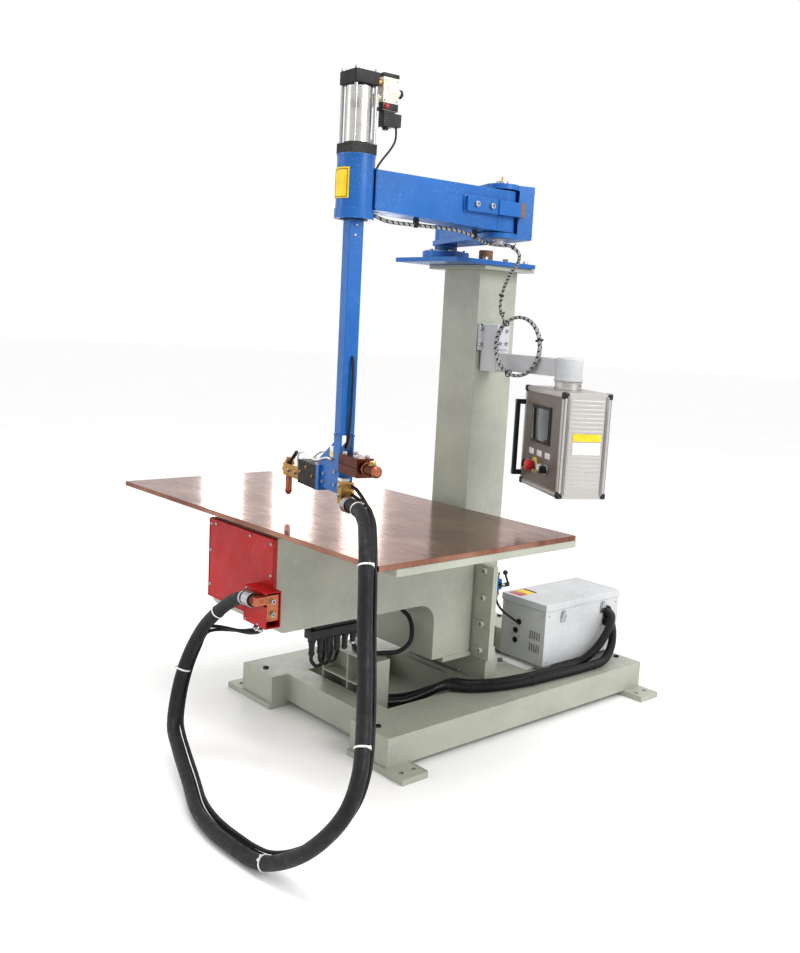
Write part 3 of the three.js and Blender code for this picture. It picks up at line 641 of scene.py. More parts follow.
def cord(name, line, diameter, slot, body, replaces=(), form=None, second=None,
         hang=None, where=MACHINE):
    """A cord along a line in millimetres. With hang given, the cord rides on no body and its place is baked
    into its mesh; the other body, start and end in hang are not used.
    """
    placed = [where @ point for point in line]
    piece = Piece(name, slot, None if hang else body)
    piece.add(swept(placed, diameter / 2, 16, form, second), also=GAP_SHADE_AND_DARK_PRINT)
    tube = piece.done()
    if hang:
        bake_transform(tube)
    if replaces:
        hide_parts(*replaces)
    return tube


WELD_LINE = smooth_line([(445.8, -713.6, 918), (500, -726, 920), (600, -772, 905), (690, -835, 858),
                         (735, -868, 803), (758, -884, 728), (775, -896, 668), (802, -914, 598),
                         (845, -944, 505), (879, -970, 423), (930, -1020, 333), (937, -1065, 251),
                         (862, -1110, 139), (726, -1132, 46), (657, -1140, 25), (560, -1148, 23),
                         (440, -1146, 23), (330, -1126, 27), (200, -1080, 44), (40, -1030, 84),
                         (-50, -1000, 125), (-97, -955, 240), (-92, -925, 335), (-40, -902, 440),
                         (46, -884, 526), (118, -876, 572), (165, -874, 588), (190, -874, 590),
                         (208, -874, 590)])
UPPER_END, MIDDLE_END = 0.13, 0.3


def hose_line(shift, start, end):
    """A thin hose's route: off its own fitting, beside the weld cable, up to its fitting under the hood."""
    beside = [point + Vector(shift) for point in stretch(WELD_LINE, 0.05, 0.9)[::16]]
    head = TOOL @ Vector(start)
    out = TOOL @ (Vector(start) + Vector((32, 0, -4)))
    return smooth_line([head, out, *beside, Vector(end) + Vector((-40, -6, -38)),
                        Vector(end) + Vector((0, 0, -20)), Vector(end)])


def at_seam(line, fraction):
    goal = WELD_LINE[round(fraction * (len(WELD_LINE) - 1))]
    return min(range(len(line)), key=lambda index: (line[index] - goal).length)


def weld_cable():
    """The thick cable and the two thin water hoses tied to it, each in three lengths over the joints."""
    hoses = [("weld_cable", WELD_LINE, 42, woven),
             ("water_hose_in", hose_line((4, 30, 4), (54, 8, 968), (150, -826, 497)), 11, None),
             ("water_hose_out", hose_line((-6, 30, 17), (54, 8, 944), (180, -826, 497)), 11, None)]
    bends = [("upper", "ram", ("upper_arm", (520, 0, 0), (620, 0, 0))),
             ("middle", "upper_arm", ("swing_link", (0, 0, 780), (0, 0, 520))),
             ("lower", "swing_link", ("base", (870, 0, 0), (450, 0, 0)))]
    for name, line, diameter, form in hoses:
        main = line is WELD_LINE
        cuts = [0, at_seam(line, UPPER_END), at_seam(line, MIDDLE_END), len(line) - 1]
        for (label, body, hang), first, last in zip(bends, cuts, cuts[1:]):
            cord(f"{name}_{label}_hose", line[first:last + 1], diameter, "hose_rubber", body,
                 (f"weld_cable_{label}",) if main else (), form,
                 hang=hang)


SIGNAL_LINE = smooth_line([(392, -618, 1764), (404, -580, 1752), (410, -429, 1752), (418, -301, 1752),
                           (414, -222, 1742), (402, -177, 1733), (390, -125, 1727), (404, -84, 1725),
                           (428, -62, 1723), (440, -36, 1704), (410, 0, 1680), (330, 50, 1640),
                           (262, 90, 1580), (240, 108, 1520), (262, 112, 1482)], 3.0)
SIGNAL_SEAM = 0.53
RING = {"x": 330, "y": 112, "z": 1395, "radius": 102}


def signal_cable():
    """The wrapped signal cable under the arm, its drop to the panel arm and the ring of spare length."""
    seam = stretch(SIGNAL_LINE, 0, SIGNAL_SEAM)
    cord("signal_cable_arm_wrap", seam, 12, "wrap_plastic", "upper_arm", ("signal_cable_arm",), wrapped,
         in_wrap_gap, hang=("swing_link", (0, -300, 0), (0, -150, 0)))
    drop = stretch(SIGNAL_LINE, SIGNAL_SEAM, 1)
    cord("signal_cable_drop_wrap", drop, 12, "wrap_plastic", "swing_link", ("signal_cable_drop",), wrapped,
         in_wrap_gap, hang=("base", (0, 0, 1715), (0, 0, 1560)))
    turns = []
    for index in range(97):
        angle = math.radians(128) + 2 * math.pi * 1.9 * index / 96
        turns.append(Vector((RING["x"] + RING["radius"] * math.cos(angle), RING["y"] - 6 + 12.5 * index / 96,
                             RING["z"] + RING["radius"] * math.sin(angle))))
    cord("signal_cable_ring_wrap", evenly(turns, 3), 12, "wrap_plastic", "base", ("signal_cable_coil",),
         wrapped, in_wrap_gap)


CONDUITS = {
    "conduit_a": [(297, 800, 318), (306, 800, 318), (334, 790, 308), (350, 756, 262), (345, 690, 190),
                  (338, 600, 147), (336, 500, 143), (334, 400, 143), (322, 250, 143), (296, 130, 143),
                  (256, 52, 144), (214, 10, 145), (164, -30, 114), (95, -85, 74), (50, -122, 58),
                  (12, -154, 53)],
    "conduit_b": [(297, 800, 283), (308, 800, 283), (336, 797, 262), (358, 776, 202), (380, 706, 152),
                  (380, 600, 142), (372, 400, 142), (360, 250, 142), (334, 130, 142), (294, 38, 143),
                  (258, -6, 144), (216, -44, 141), (168, -86, 106), (110, -135, 68), (40, -190, 51)],
}


def conduits():
    for name, points in CONDUITS.items():
        cord(f"{name}_ribbed", smooth_line(points, 1.4), 34, "conduit_plastic", "base", (name,),
             ribbed(5.6, 0.13))


def water_loop():
    line = smooth_line([(138, -417, 371.4), (138, -417, 362), (125, -385, 315), (110, -320, 288),
                        (100, -240, 272), (100, -165, 264), (100, -114, 288), (100, -106, 340),
                        (100, -125, 390), (100, -162, 425), (100, -170, 448), (100, -170, 456.5)])
    cord("water_hose_loop_rubber", line, 16, "hose_rubber", "base", ("water_hose_loop",))


def air_line():
    line = smooth_line([(0, 58, 1976.8), (0, 58, 1984), (5, 60, 2016), (0, 58, 2058), (0, 58, 2067.4)], 2)
    cord("air_tube_soft", line, 8, "white_plastic", "upper_arm", ("air_tube",), where=CYLINDER)


weld_cable()
signal_cable()
conduits()
water_loop()
air_line()
finish_nodes()


# ---- details that ride on the CAD frame ----


def at(x, y, z):
    return Matrix.Translation((x, y, z))


def polar(radius, degrees):
    """The two sides of a point on a circle."""
    return radius * math.cos(math.radians(degrees)), radius * math.sin(math.radians(degrees))


def way_at(line, fraction):
    """A point of a line and the way the line runs there."""
    index = min(len(line) - 2, max(1, round(fraction * (len(line) - 1))))
    return line[index], (line[index + 1] - line[index - 1]).normalized()


def ties(name, slot, bodies, line, radius, width):
    """Cable ties round a line, each with its head and cut tail: one piece for each body they ride on."""
    for body, fractions in bodies.items():
        piece = Piece(f"{name}_{body}", slot, body)
        for fraction in fractions:
            point, way = way_at(line, fraction)
            place = facing(point - way * width / 2, way, 40)
            piece.add(ring(radius + 1.7, radius - 0.6, width), place)
            piece.add(block(radius - 1, radius + 5, -3.6, 3.6, -1.2, width + 1.2, 0.8), place)
            piece.add(block(radius + 1, radius + 2.2, 3, 15, 0.6, width - 0.6, 0.3), place)
        piece.done()


def base_details():
    welds = Piece("base_weld_beads", "cream_paint")
    for side in (-1, 1):
        inner = side * 237
        for y in (-418, -325, 92, 394, 713, 806):
            welds.bead((inner, y, 33), (inner, y, 123), 3)
        for y0, y1 in ((-325, 92), (394, 713)):
            welds.bead((inner, y0, 31), (inner, y1, 31), 2.6)
        for y in (-390, 775):
            welds.bead((side * 437, y, 21), (side * 522, y, 21), 2.6)
        welds.bead((side * 148, 113, 137.5), (side * 148, 373, 137.5), 1.6)
        welds.bead((side * 93, 145, 138), (side * 93, 343, 138), 4, 0.14)
        welds.bead((side * 93, 143, 590), (side * 93, 143, 1660), 1.5, 0.1)
    welds.bead((-92, 345, 138), (92, 345, 138), 4, 0.14)
    welds.bead((-150, -325, 33), (150, -325, 33), 3)
    welds.bead((-150, -247, 33), (150, -247, 33), 3)
    welds.done()

    spots = [(x, y, 124) for x in (-336, 336) for y in (-452, 845)]
    fasten("beam_plugs", "black_paint", (cap_screw, (11, 5), spots, UP))
    spots = [(x, y, 136.6) for x in (-128, 128) for y in (130, 188, 298, 356)]
    fasten("column_foot_bolts", "steel", (hex_bolt, (10, 14), spots, UP))

    flange = Piece("arm_flange_screws", "cream_paint")
    heights = (259, 361, 462, 564)
    flange.screws(cap_screw, (12, 15), [(x, 118, z) for x in (-244, 244) for z in heights], FRONT)
    flange.screws(hex_bolt, (12, 13), [(x, 143, z) for x in (-262, 262) for z in heights], BACK)
    for x in (-181, 181):
        flange.bead((x, 117, 245), (x, 117, 583), 3)
    flange.done()

    spots = [(x, y, 1696) for x in (-128, 128) for y in (130, 236, 345)]
    around = [at(0, 50, 1720) @ Vector((*polar(72, 30 + 60 * turn), 0)) for turn in range(6)]
    fasten("top_plate_bolts", "steel", (hex_bolt, (10, 13), spots, UP), (cap_screw, (7, 7), around, UP))


def table_details():
    spots = [(x, y, 770.5) for x in (-700, -245, 245, 700) for y in (-725, -60)]
    fasten("table_frame_bolts", "steel", (hex_bolt, (9, 10), spots, DOWN))
    seam = Piece("table_frame_beads", "cream_paint")
    for x in (-193, 193):
        seam.bead((x, -768, 770), (x, -45, 770), 2.8)
    for x, foot in ((-190, 458), (190, 590)):
        seam.bead((x, 107, foot), (x, 107, 768), 2.6)
    seam.done()


def lower_front():
    spots = [(x, -796, z) for x, z in ((-180, 752), (-150, 756), (-182, 660), (-182, 540), (180, 752),
                                       (184, 650), (60, 756))]
    hood_spots = [(x, -852, z) for x, z in ((132, 508), (132, 608), (200, 508))]
    fasten("front_cover_screws", "steel", (pan_screw, (6, 4), spots, FRONT),
           (pan_screw, (4.5, 3), hood_spots, FRONT))
    lip = Piece("front_cover_lips", "red_paint")
    for z in (499, 766):
        lip.add(block(-194, 194, -797.6, -795.5, z - 1.4, z + 2.6, 0.7))
    for x in (-193.4, 190.4):
        lip.add(block(x, x + 3, -797.6, -795.5, 500, 768, 0.7))
    lip.add(block(118, 245, -853, -851.5, 612, 616, 0.6))
    lip.done()

    lug = Piece("terminal_screws", "steel")
    lug.screws(cap_screw, (8, 9), [(240, -826, 545), (240, -826, 586)], RIGHT)
    lug.screws(pan_screw, (6, 4), [(238, -862, 590)], RIGHT, "copper")
    for z in (545, 586):
        lug.add(ring(12, 7, 2.4), facing((239.6, -826, z), RIGHT), "brass")
    lug.done()
    end = Piece("weld_cable_end_sleeves", "steel")
    end.add(ring(24, 20.6, 34, 1.5), facing((170, -874, 588.6), RIGHT))
    end.add(ring(23, 20.6, 10, 1.5), facing((150, -873.5, 585), Vector((1, 0, 0.12))))
    end.add(drum(16, 10, 2), facing((201, -874, 590), RIGHT), "copper")
    end.done()

    taps = Piece("hood_hose_tails", "brass")
    for x in (150, 180):
        taps.add(hex_bolt(9, 9, False), facing((x, -826, 500), DOWN))
        taps.add(ring(8.2, 5.4, 9), facing((x, -826, 482), DOWN), "steel")
    taps.done()


def manifold_details():
    barbs = Piece("manifold_hose_tails", "black_plastic")
    for port in range(6):
        y = -592 + 35 * port
        barbs.add(hex_bolt(10, 10, False), facing((138, y, 372), DOWN))
        if port < 5:
            barbs.add(drum(9.5, 26, 2), facing((138, y, 364), DOWN))
            barbs.add(ring(11, 9, 6), facing((138, y, 350), DOWN))
        barbs.add(ring(14, 10.5, 12, 2), facing((138, y, 397), DOWN))
    barbs.done()
    clips = Piece("hose_worm_clamps", "steel")
    for x, y, z in ((138, -417, 360), (100, -170, 450)):
        clips.add(ring(10.2, 7.6, 9), facing((x, y, z), DOWN))
        clips.add(block(8.5, 16, -5, 5, 0.5, 8.5, 1), facing((x, y, z), DOWN))
        clips.add(hex_bolt(3.2, 5, False), facing((x - 12, y + 5, z - 4.5), BACK))
    clips.done()
    for index, y in enumerate((-592, -557, -522)):
        inward = 6 * index
        line = smooth_line([(138, y, 340), (138, y, 322), (132 - inward, y + 24, 296),
                            (112 - 8 * index, y + 62, 290), (86 - inward, y + 92, 312),
                            *((x - inward, y + 100, z) for x, z in ((76, 360), (74, 420), (74, 456)))])
        cord(f"drain_hose_{index + 1}", line, 13, "hose_rubber", "base")


def jack_details():
    thread = Piece("jack_thread", "steel")
    bottom, pitch, turns = 323, 4, 28
    crests = [(radius, bottom + pitch * turn + rise) for turn in range(turns)
              for radius, rise in ((15.2, 0), (17.8, 2))]
    top = bottom + pitch * turns
    thread.add(turned([(0, bottom), *crests, (15.2, top), (0, top)]), at(0, -286, 0))
    thread.add(hex_bolt(24, 18, False), facing((0, -286, 412), UP))
    thread.done()
    beads = Piece("pedestal_beads", "cream_paint")
    for x in (-142, -4, 4, 142):
        beads.bead((x, -256, 62), (x, -256, 251), 2)
    beads.done()


def cabinet_details():
    vents = Piece("cabinet_louvres", "grey_paint")
    for row in (0, 1):
        for slot in range(5):
            x = 222 + 12 * slot
            z = 196 + 50 * row
            vents.add(block(x, x + 6, 412.4, 416, z, z + 40, 1.6))
            # a near-black strip in each louvre opening: painted shade of the cabinet's inside
            vents.add(block(x + 4.8, x + 6.6, 412, 414, z + 4, z + 36, 0.5), finish=GAP_SHADE_AND_DARK_PRINT)
    vents.done()

    plugs = Piece("cabinet_glands", "black_plastic")
    for x, z in ((150, 262), (150, 222), (165, 300)):
        plugs.add(ring(12, 7.8, 5, 1.2), facing((x, 415.4, z), FRONT))
        # a near-black disc in each gland's bore: painted shade of the hole
        plugs.add(drum(8, 6, 1), facing((x, 417, z), FRONT), GAP_SHADE_AND_DARK_PRINT)
    for z in (318, 283):
        plugs.add(ring(25, 17.6, 9, 1.5), facing((299, 800, z), RIGHT))
        plugs.add(turned([(0, 0), (22, 0), (22, 6, 1), (21, 8), (0, 8)]), facing((290, 800, z), RIGHT))
    plugs.done()

    spots = [(x, 415, z) for x, z in ((130, 242), (130, 282), (170, 242), (170, 282), (86, 352),
                                      (286, 352), (86, 164))]
    side_spots = [(300, y, z) for y in (436, 856) for z in (166, 352)]
    fasten("cabinet_screws", "steel", (pan_screw, (3.4, 2.4), spots, FRONT),
           (pan_screw, (3.4, 2.4), side_spots, RIGHT))

    latches = Piece("cabinet_latches", "steel")
    for y in (520, 770):
        latches.add(block(300, 304.5, y - 14, y + 14, 318, 356, 1.5))
        latches.add(block(304, 308, y - 8, y + 8, 336, 364, 1.2))
        latches.add(drum(4, 30, 0.6), facing((305, y - 15, 340), BACK))
    latches.done()

    hinges = Piece("lid_hinge_barrels", "steel")
    for y in (500, 646, 790):
        hinges.add(drum(5, 52, 0.8), facing((64.5, y - 26, 369), BACK))
    hinges.done()

    lid = Piece("lid_bands", "red_plastic", "lid")
    for finish, start, end in (("red_plastic", 430, 470), (YELLOW_LABEL, 472, 516), (GAP_SHADE_AND_DARK_PRINT, 518, 528)):
        lid.add(block(84, 150, start, end, 399.6, 400.7, 0.3), finish=finish)
    lid.add(block(300, 305.4, 560, 700, 380, 384, 1.2), finish="grey_paint")
    lid.done()


def hand_valve_details():
    extras = Piece("hand_valve_fittings", "brass")
    for z, direction in ((492, UP), (420, DOWN)):
        extras.add(hex_bolt(9, 10, False), facing((111, 330, z), direction))
    extras.screws(pan_screw, (4, 3), [(100, 327, 382), (100, 327, 412)], RIGHT, "steel")
    extras.done()
    fasten("hand_valve_nut", "steel", (hex_bolt, (7, 6), [(138, 334, 455)], RIGHT), body="valve_lever")
    line = smooth_line([(111, 330, 408), (111, 330, 392), (122, 334, 368), (136, 350, 344), (152, 372, 324),
                        (162, 392, 308), (165, 402, 301), (165, 412, 300)])
    cord("hand_valve_hose", line, 9, "hose_rubber", "base")


def panel_details():
    face = -80
    front = Piece("panel_front_plate", "panel_aluminium", "operator_panel", PANEL)
    # the front plate carries the painted shade of the panel's front face
    front.add(block(-154, 154, face - 2.2, face + 1, 938, 1246, 1.4), finish=PANEL_FACE_SHADE)
    front.add(block(-88, 76, face - 6.5, face - 1, 1078, 1206, 3), finish="black_plastic")
    front.add(block(-78, 66, face - 8.3, face - 5, 1088, 1196, 1.0), finish=SCREEN)
    front.done()

    frame_bars = Piece("panel_frame_bars", "panel_aluminium", "operator_panel", PANEL)
    for z in (921, 1249):
        frame_bars.add(block(-150, 150, face - 5, face + 3, z, z + 14, 3))
    for x in (-166, 154):
        frame_bars.add(block(x, x + 12, face - 5, face + 3, 940, 1243, 4))
        for y in (face + 8, face + 142):
            frame_bars.add(block(172, 174.4, y, y + 10, 930, 1254, 1.1))
    for z in range(952, 1240, 14):
        frame_bars.add(block(171.6, 173.6, face + 22, face + 138, z, z + 9, 0.9))
    frame_bars.done()

    corners = Piece("panel_corner_caps", "black_plastic", "operator_panel", PANEL)
    for x in (-173.5, 151.5):
        for z in (917.5, 1243.5):
            for y in (face - 6, -face - 16):
                corners.add(block(x, x + 22, y, y + 22, z, z + 22, 6))
    corners.add(block(-171, 171, -face - 1, -face + 2.5, 934, 1250, 1.2))
    corners.done()

    plates = Piece("panel_labels", "white_plastic", "operator_panel", PANEL)
    for x in (-79, -8, 64):
        plates.add(block(x - 22, x + 22, face - 3.2, face - 2, 1034, 1054, 0.4))
    plates.add(block(173.2, 175, -46, 52, 1108, 1132, 0.4), finish=YELLOW_LABEL)
    plates.add(block(173.2, 175, -46, 52, 1064, 1104, 0.4))
    plates.done()

    rings = Piece("panel_device_rings", "steel", "operator_panel", PANEL)
    for x, outer in ((-98, 17), (-45, 20), (10, 17), (62, 17)):
        rings.add(ring(outer, 12.3, 6, 1.5), facing((x, face - 1.8, 998), FRONT))
    rings.add(ring(28, 12.3, 1.8, 0.5), facing((-45, face - 1.6, 998), FRONT), YELLOW_LABEL)
    rings.done()

    for body, x, side in (("selector_l", -98, "left"), ("selector_r", 62, "right")):
        knob = Piece(f"selector_pointer_{side}", "black_plastic", body, PANEL)
        knob.add(drum(11.4, 8, 1.4), facing((x, face - 8, 998), FRONT))
        knob.add(block(x - 1.2, x + 1.2, face - 29.3, face - 20, 1000, 1009, 0.4), finish="white_plastic")
        knob.done()
    mushroom = Piece("estop_dome", "red_plastic", "estop", PANEL)
    dome = [(0, 0), (19.5, 0), (20, 1.5), (18.5, 5), (13, 7.6), (6, 8.6), (0, 8.8)]
    mushroom.add(turned(dome, 32), facing((-45, face - 29.4, 998), FRONT))
    mushroom.done()

    neck = Piece("panel_neck_rings", "panel_aluminium", "operator_panel", PANEL)
    neck.add(ring(47, 43.5, 6, 1.5), at(0, 0, 1264))
    neck.add(ring(46.5, 43.5, 5, 1.5), at(0, 0, 1286))
    for degrees in (45, 135, 225, 315):
        x, y = polar(44, degrees)
        neck.add(cap_screw(3.6, 3), facing((x, y, 1279), (x, y, 0)), "steel")
    neck.done()
    spots = [(-164, -118, z) for z in (956, 1206)]
    fasten("handle_end_screws", "steel", (cap_screw, (5, 3), spots, FRONT), body="operator_panel",
           where=PANEL)


def support_details():
    ears = Piece("support_arm_screws", "steel")
    spots = [(104, 155.5, z) for z in (1392, 1450)] + [(180, y, z) for y in (180, 212) for z in (1400, 1446)]
    ears.screws(cap_screw, (6, 6), spots, RIGHT)
    ears.add(block(178, 186, 168, 224, 1378, 1388, 2), finish=ARM_GREY)
    ears.done()
    flare = Piece("support_arm_collars", "panel_aluminium")
    flare.add(ring(49, 45, 9, 2), at(559.5, 124, 1292), ARM_GREY)
    cap = [(0, 0), (46, 0), (45, 3), (38, 6), (14, 7.5), (0, 7.5)]
    flare.add(turned(cap, 32), at(559.5, 124, 1364.5), ARM_GREY)
    flare.done()


def arm_details():
    fasten("stop_bracket_screws", "steel", (cap_screw, (9, 8), [(61, y, 1832) for y in (-155, -92)], RIGHT),
           (pan_screw, (5, 3), [(59, 48, 1832)], BACK), body="upper_arm", where=ARM)

    beads = Piece("arm_weld_beads", "blue_paint", "upper_arm", ARM)
    for x in (-44, 44):
        beads.bead((x, -527, 1777), (x, -527, 1888), 3.2, 0.14)
        beads.bead((x * 1.01, -50, 1762), (x * 1.01, -50, 1888), 2.2)
    beads.bead((-44, -526, 1889), (44, -526, 1889), 3.2, 0.14)
    beads.add(block(46.2, 48.4, -196, -56, 1805, 1858, 0.8))
    beads.done()

    bands = Piece("ram_housing_bands", "blue_paint", "upper_arm", TOOL)
    for z, outer, height in ((1746.5, 58.6, 3), (1772.6, 56, 3), (1919, 56, 6.5)):
        bands.add(ring(outer, 54.4, height, 1), at(0, 0, z))
    bands.add(ring(41, 27, 3, 0.8), at(0, 0, 1743.6), "black_plastic")
    bands.done()

    plate = Piece("housing_plate", "ivory_plastic", "upper_arm", TOOL)
    angles = [-118 + 6.2 * step for step in range(13)]
    shape = bmesh.new()
    for pair in zip(angles, angles[1:]):
        corners = [shape.verts.new((*polar(radius, degrees), z)) for radius in (55.6, 56.5)
                   for degrees in pair for z in (1800, 1886)]
        bmesh.ops.convex_hull(shape, input=corners)
    plate.add(unite(shape), finish=YELLOW_LABEL)
    border = [[Vector((*polar(56.7, degrees), z)) for degrees in angles[1:-1]] for z in (1804, 1880.4)]
    border += [[Vector((*polar(56.7, degrees), z)) for z in (1804, 1840, 1880.4)]
               for degrees in (angles[1], angles[-2])]
    for line in border:
        plate.add(swept(line, 0.7, 6), finish=GAP_SHADE_AND_DARK_PRINT)
    plate.done()

    clips = Piece("signal_cable_clips", "black_plastic", "upper_arm")
    for fraction in (0.3, 0.78):
        point, way = way_at(stretch(SIGNAL_LINE, 0, SIGNAL_SEAM), fraction)
        clips.add(ring(8, 5.6, 12, 1), facing(point - way * 6, way))
        clips.add(block(-7, 7, -6, 6, 4, 20, 1), at(*point))
        clips.add(pan_screw(4, 3), facing(point + Vector((0, 8, 6)), BACK), "steel")
    clips.done()
    fractions = {"swing_link": [0.6], "base": [0.9, 0.97]}
    ties("signal_cable_ties", "black_plastic", fractions, SIGNAL_LINE, 6, 3.6)
    ring_ties = Piece("ring_ties", "black_plastic")
    for degrees in (128, 15, 250):
        out, up = polar(1, degrees)
        centre = Vector((RING["x"] + RING["radius"] * out, RING["y"], RING["z"] + RING["radius"] * up))
        way = Vector((-up, 0, out))
        ring_ties.add(ring(14.2, 12.2, 5), facing(centre - way * 2.5, way))
    ring_ties.done()


def link_details():
    caps = Piece("elbow_washers", "steel", "swing_link", LINK)
    for z, direction in ((1910.3, UP), (1741.7, DOWN)):
        caps.add(ring(29, 20.4, 2.6, 0.8), facing((LINK_LENGTH, 0, z), direction))
    caps.add(hex_bolt(6, 7, False), facing((LINK_LENGTH, 0, 1922), UP), "brass")
    caps.add(drum(3, 9, 1), facing((LINK_LENGTH, 0, 1928), UP), "brass")
    caps.done()
    beads = Piece("link_weld_beads", "blue_paint", "swing_link", LINK)
    for z in (1759.5, 1892.5):
        beads.bead((32, 61, z), (330, 61, z), 3, 0.14)
        beads.bead((32, -41, z), (340, -41, z), 3, 0.14)
        beads.bead((374, 104, z), (484, 104, z), 2.6, 0.14)
    beads.done()
    spots = [(110, 0, 1910), (210, 0, 1910), (300, 10, 1910), (420, 78, 1910)]
    fasten("link_plate_bolts", "steel", (cap_screw, (8, 8), spots, UP), body="swing_link", where=LINK)
    top = Piece("pivot_cap", "steel")
    top.add(ring(36, 25.4, 7, 1.5), at(0, 50, 1910.4))
    top.add(hex_bolt(20, 12, False), at(0, 50, 1917.6))
    top.done()
    washer = Piece("pivot_thrust_ring", "steel")
    washer.add(ring(62, 25.5, 3.4, 1), at(0, 50, 1720.2))
    washer.done()


def cylinder_details():
    nuts = Piece("tie_rod_nuts", "steel", "upper_arm", CYLINDER)
    for x in (-34, 34):
        for y in (-34, 34):
            nuts.add(hex_bolt(6.6, 7, False), facing((x, y, 2154), UP))
            nuts.add(drum(4.4, 10, 0.8), facing((x, y, 2153), UP))
            nuts.add(ring(5.1, 4.62, 158, 0.1, 16), at(x, y, 1957))
    nuts.done()
    bands = Piece("cylinder_seal_rings", "black_plastic", "upper_arm", CYLINDER)
    for z in (1956.4, 2112.4):
        bands.add(ring(38.8, 37.4, 3, 0.6), at(0, 0, z))
    bands.done()
    fittings = Piece("air_fittings", "brass", "upper_arm", CYLINDER)
    for z in (2138, 1941):
        fittings.add(hex_bolt(9, 7, False), facing((0, 41.8, z), BACK))
    fittings.add(ring(10, 8.2, 24, 1), facing((0, 49, 2138), BACK))
    fittings.add(ring(12.5, 8, 9, 2), facing((0, 139, 2117), BACK), "black_plastic")
    fittings.add(turned([(0, 0), (8.5, 0), (8.5, 3), (6, 8), (0, 9)]), facing((0, 145, 2117), BACK))
    for z in (1934, 1966, 2070, 2096):
        fittings.add(ring(10.4, 8.6, 4, 1), at(0, 58, z), "white_plastic")
    fittings.done()
    valve = Piece("valve_trim", "black_plastic", "upper_arm", CYLINDER)
    valve.add(block(-15.8, 15.8, 73.2, 128.8, 2154, 2165.5, 1.5))
    valve.add(block(-15.8, 15.2, 73.2, 128.8, 2061.8, 2084, 1.5))
    for fin in range(5):
        valve.add(block(-14.6, 14.6, 80.4, 119.6, 2024 + 7 * fin, 2027 + 7 * fin, 0.8))
    valve.screws(pan_screw, (2.6, 2), [(15, y, z) for y in (80, 122) for z in (2090, 2146)], RIGHT, "steel")
    valve.add(block(15, 16.2, 92, 118, 2112, 2134, 0.4), finish="white_plastic")
    valve.add(ring(8, 5.8, 3, 0.8), facing((15, 87, 2074), RIGHT), "red_plastic")
    valve.screws(pan_screw, (3, 3), [(0, 145, 2040)], BACK, "steel")
    valve.done()
    line = smooth_line([(0, 135, 2023), (0, 137, 2008), (4, 132, 1984), (10, 112, 1956), (14, 86, 1928),
                        (16, 68, 1906), (17, 60, 1893)], 2)
    cord("coil_lead", line, 6, "black_plastic", "upper_arm", where=CYLINDER)


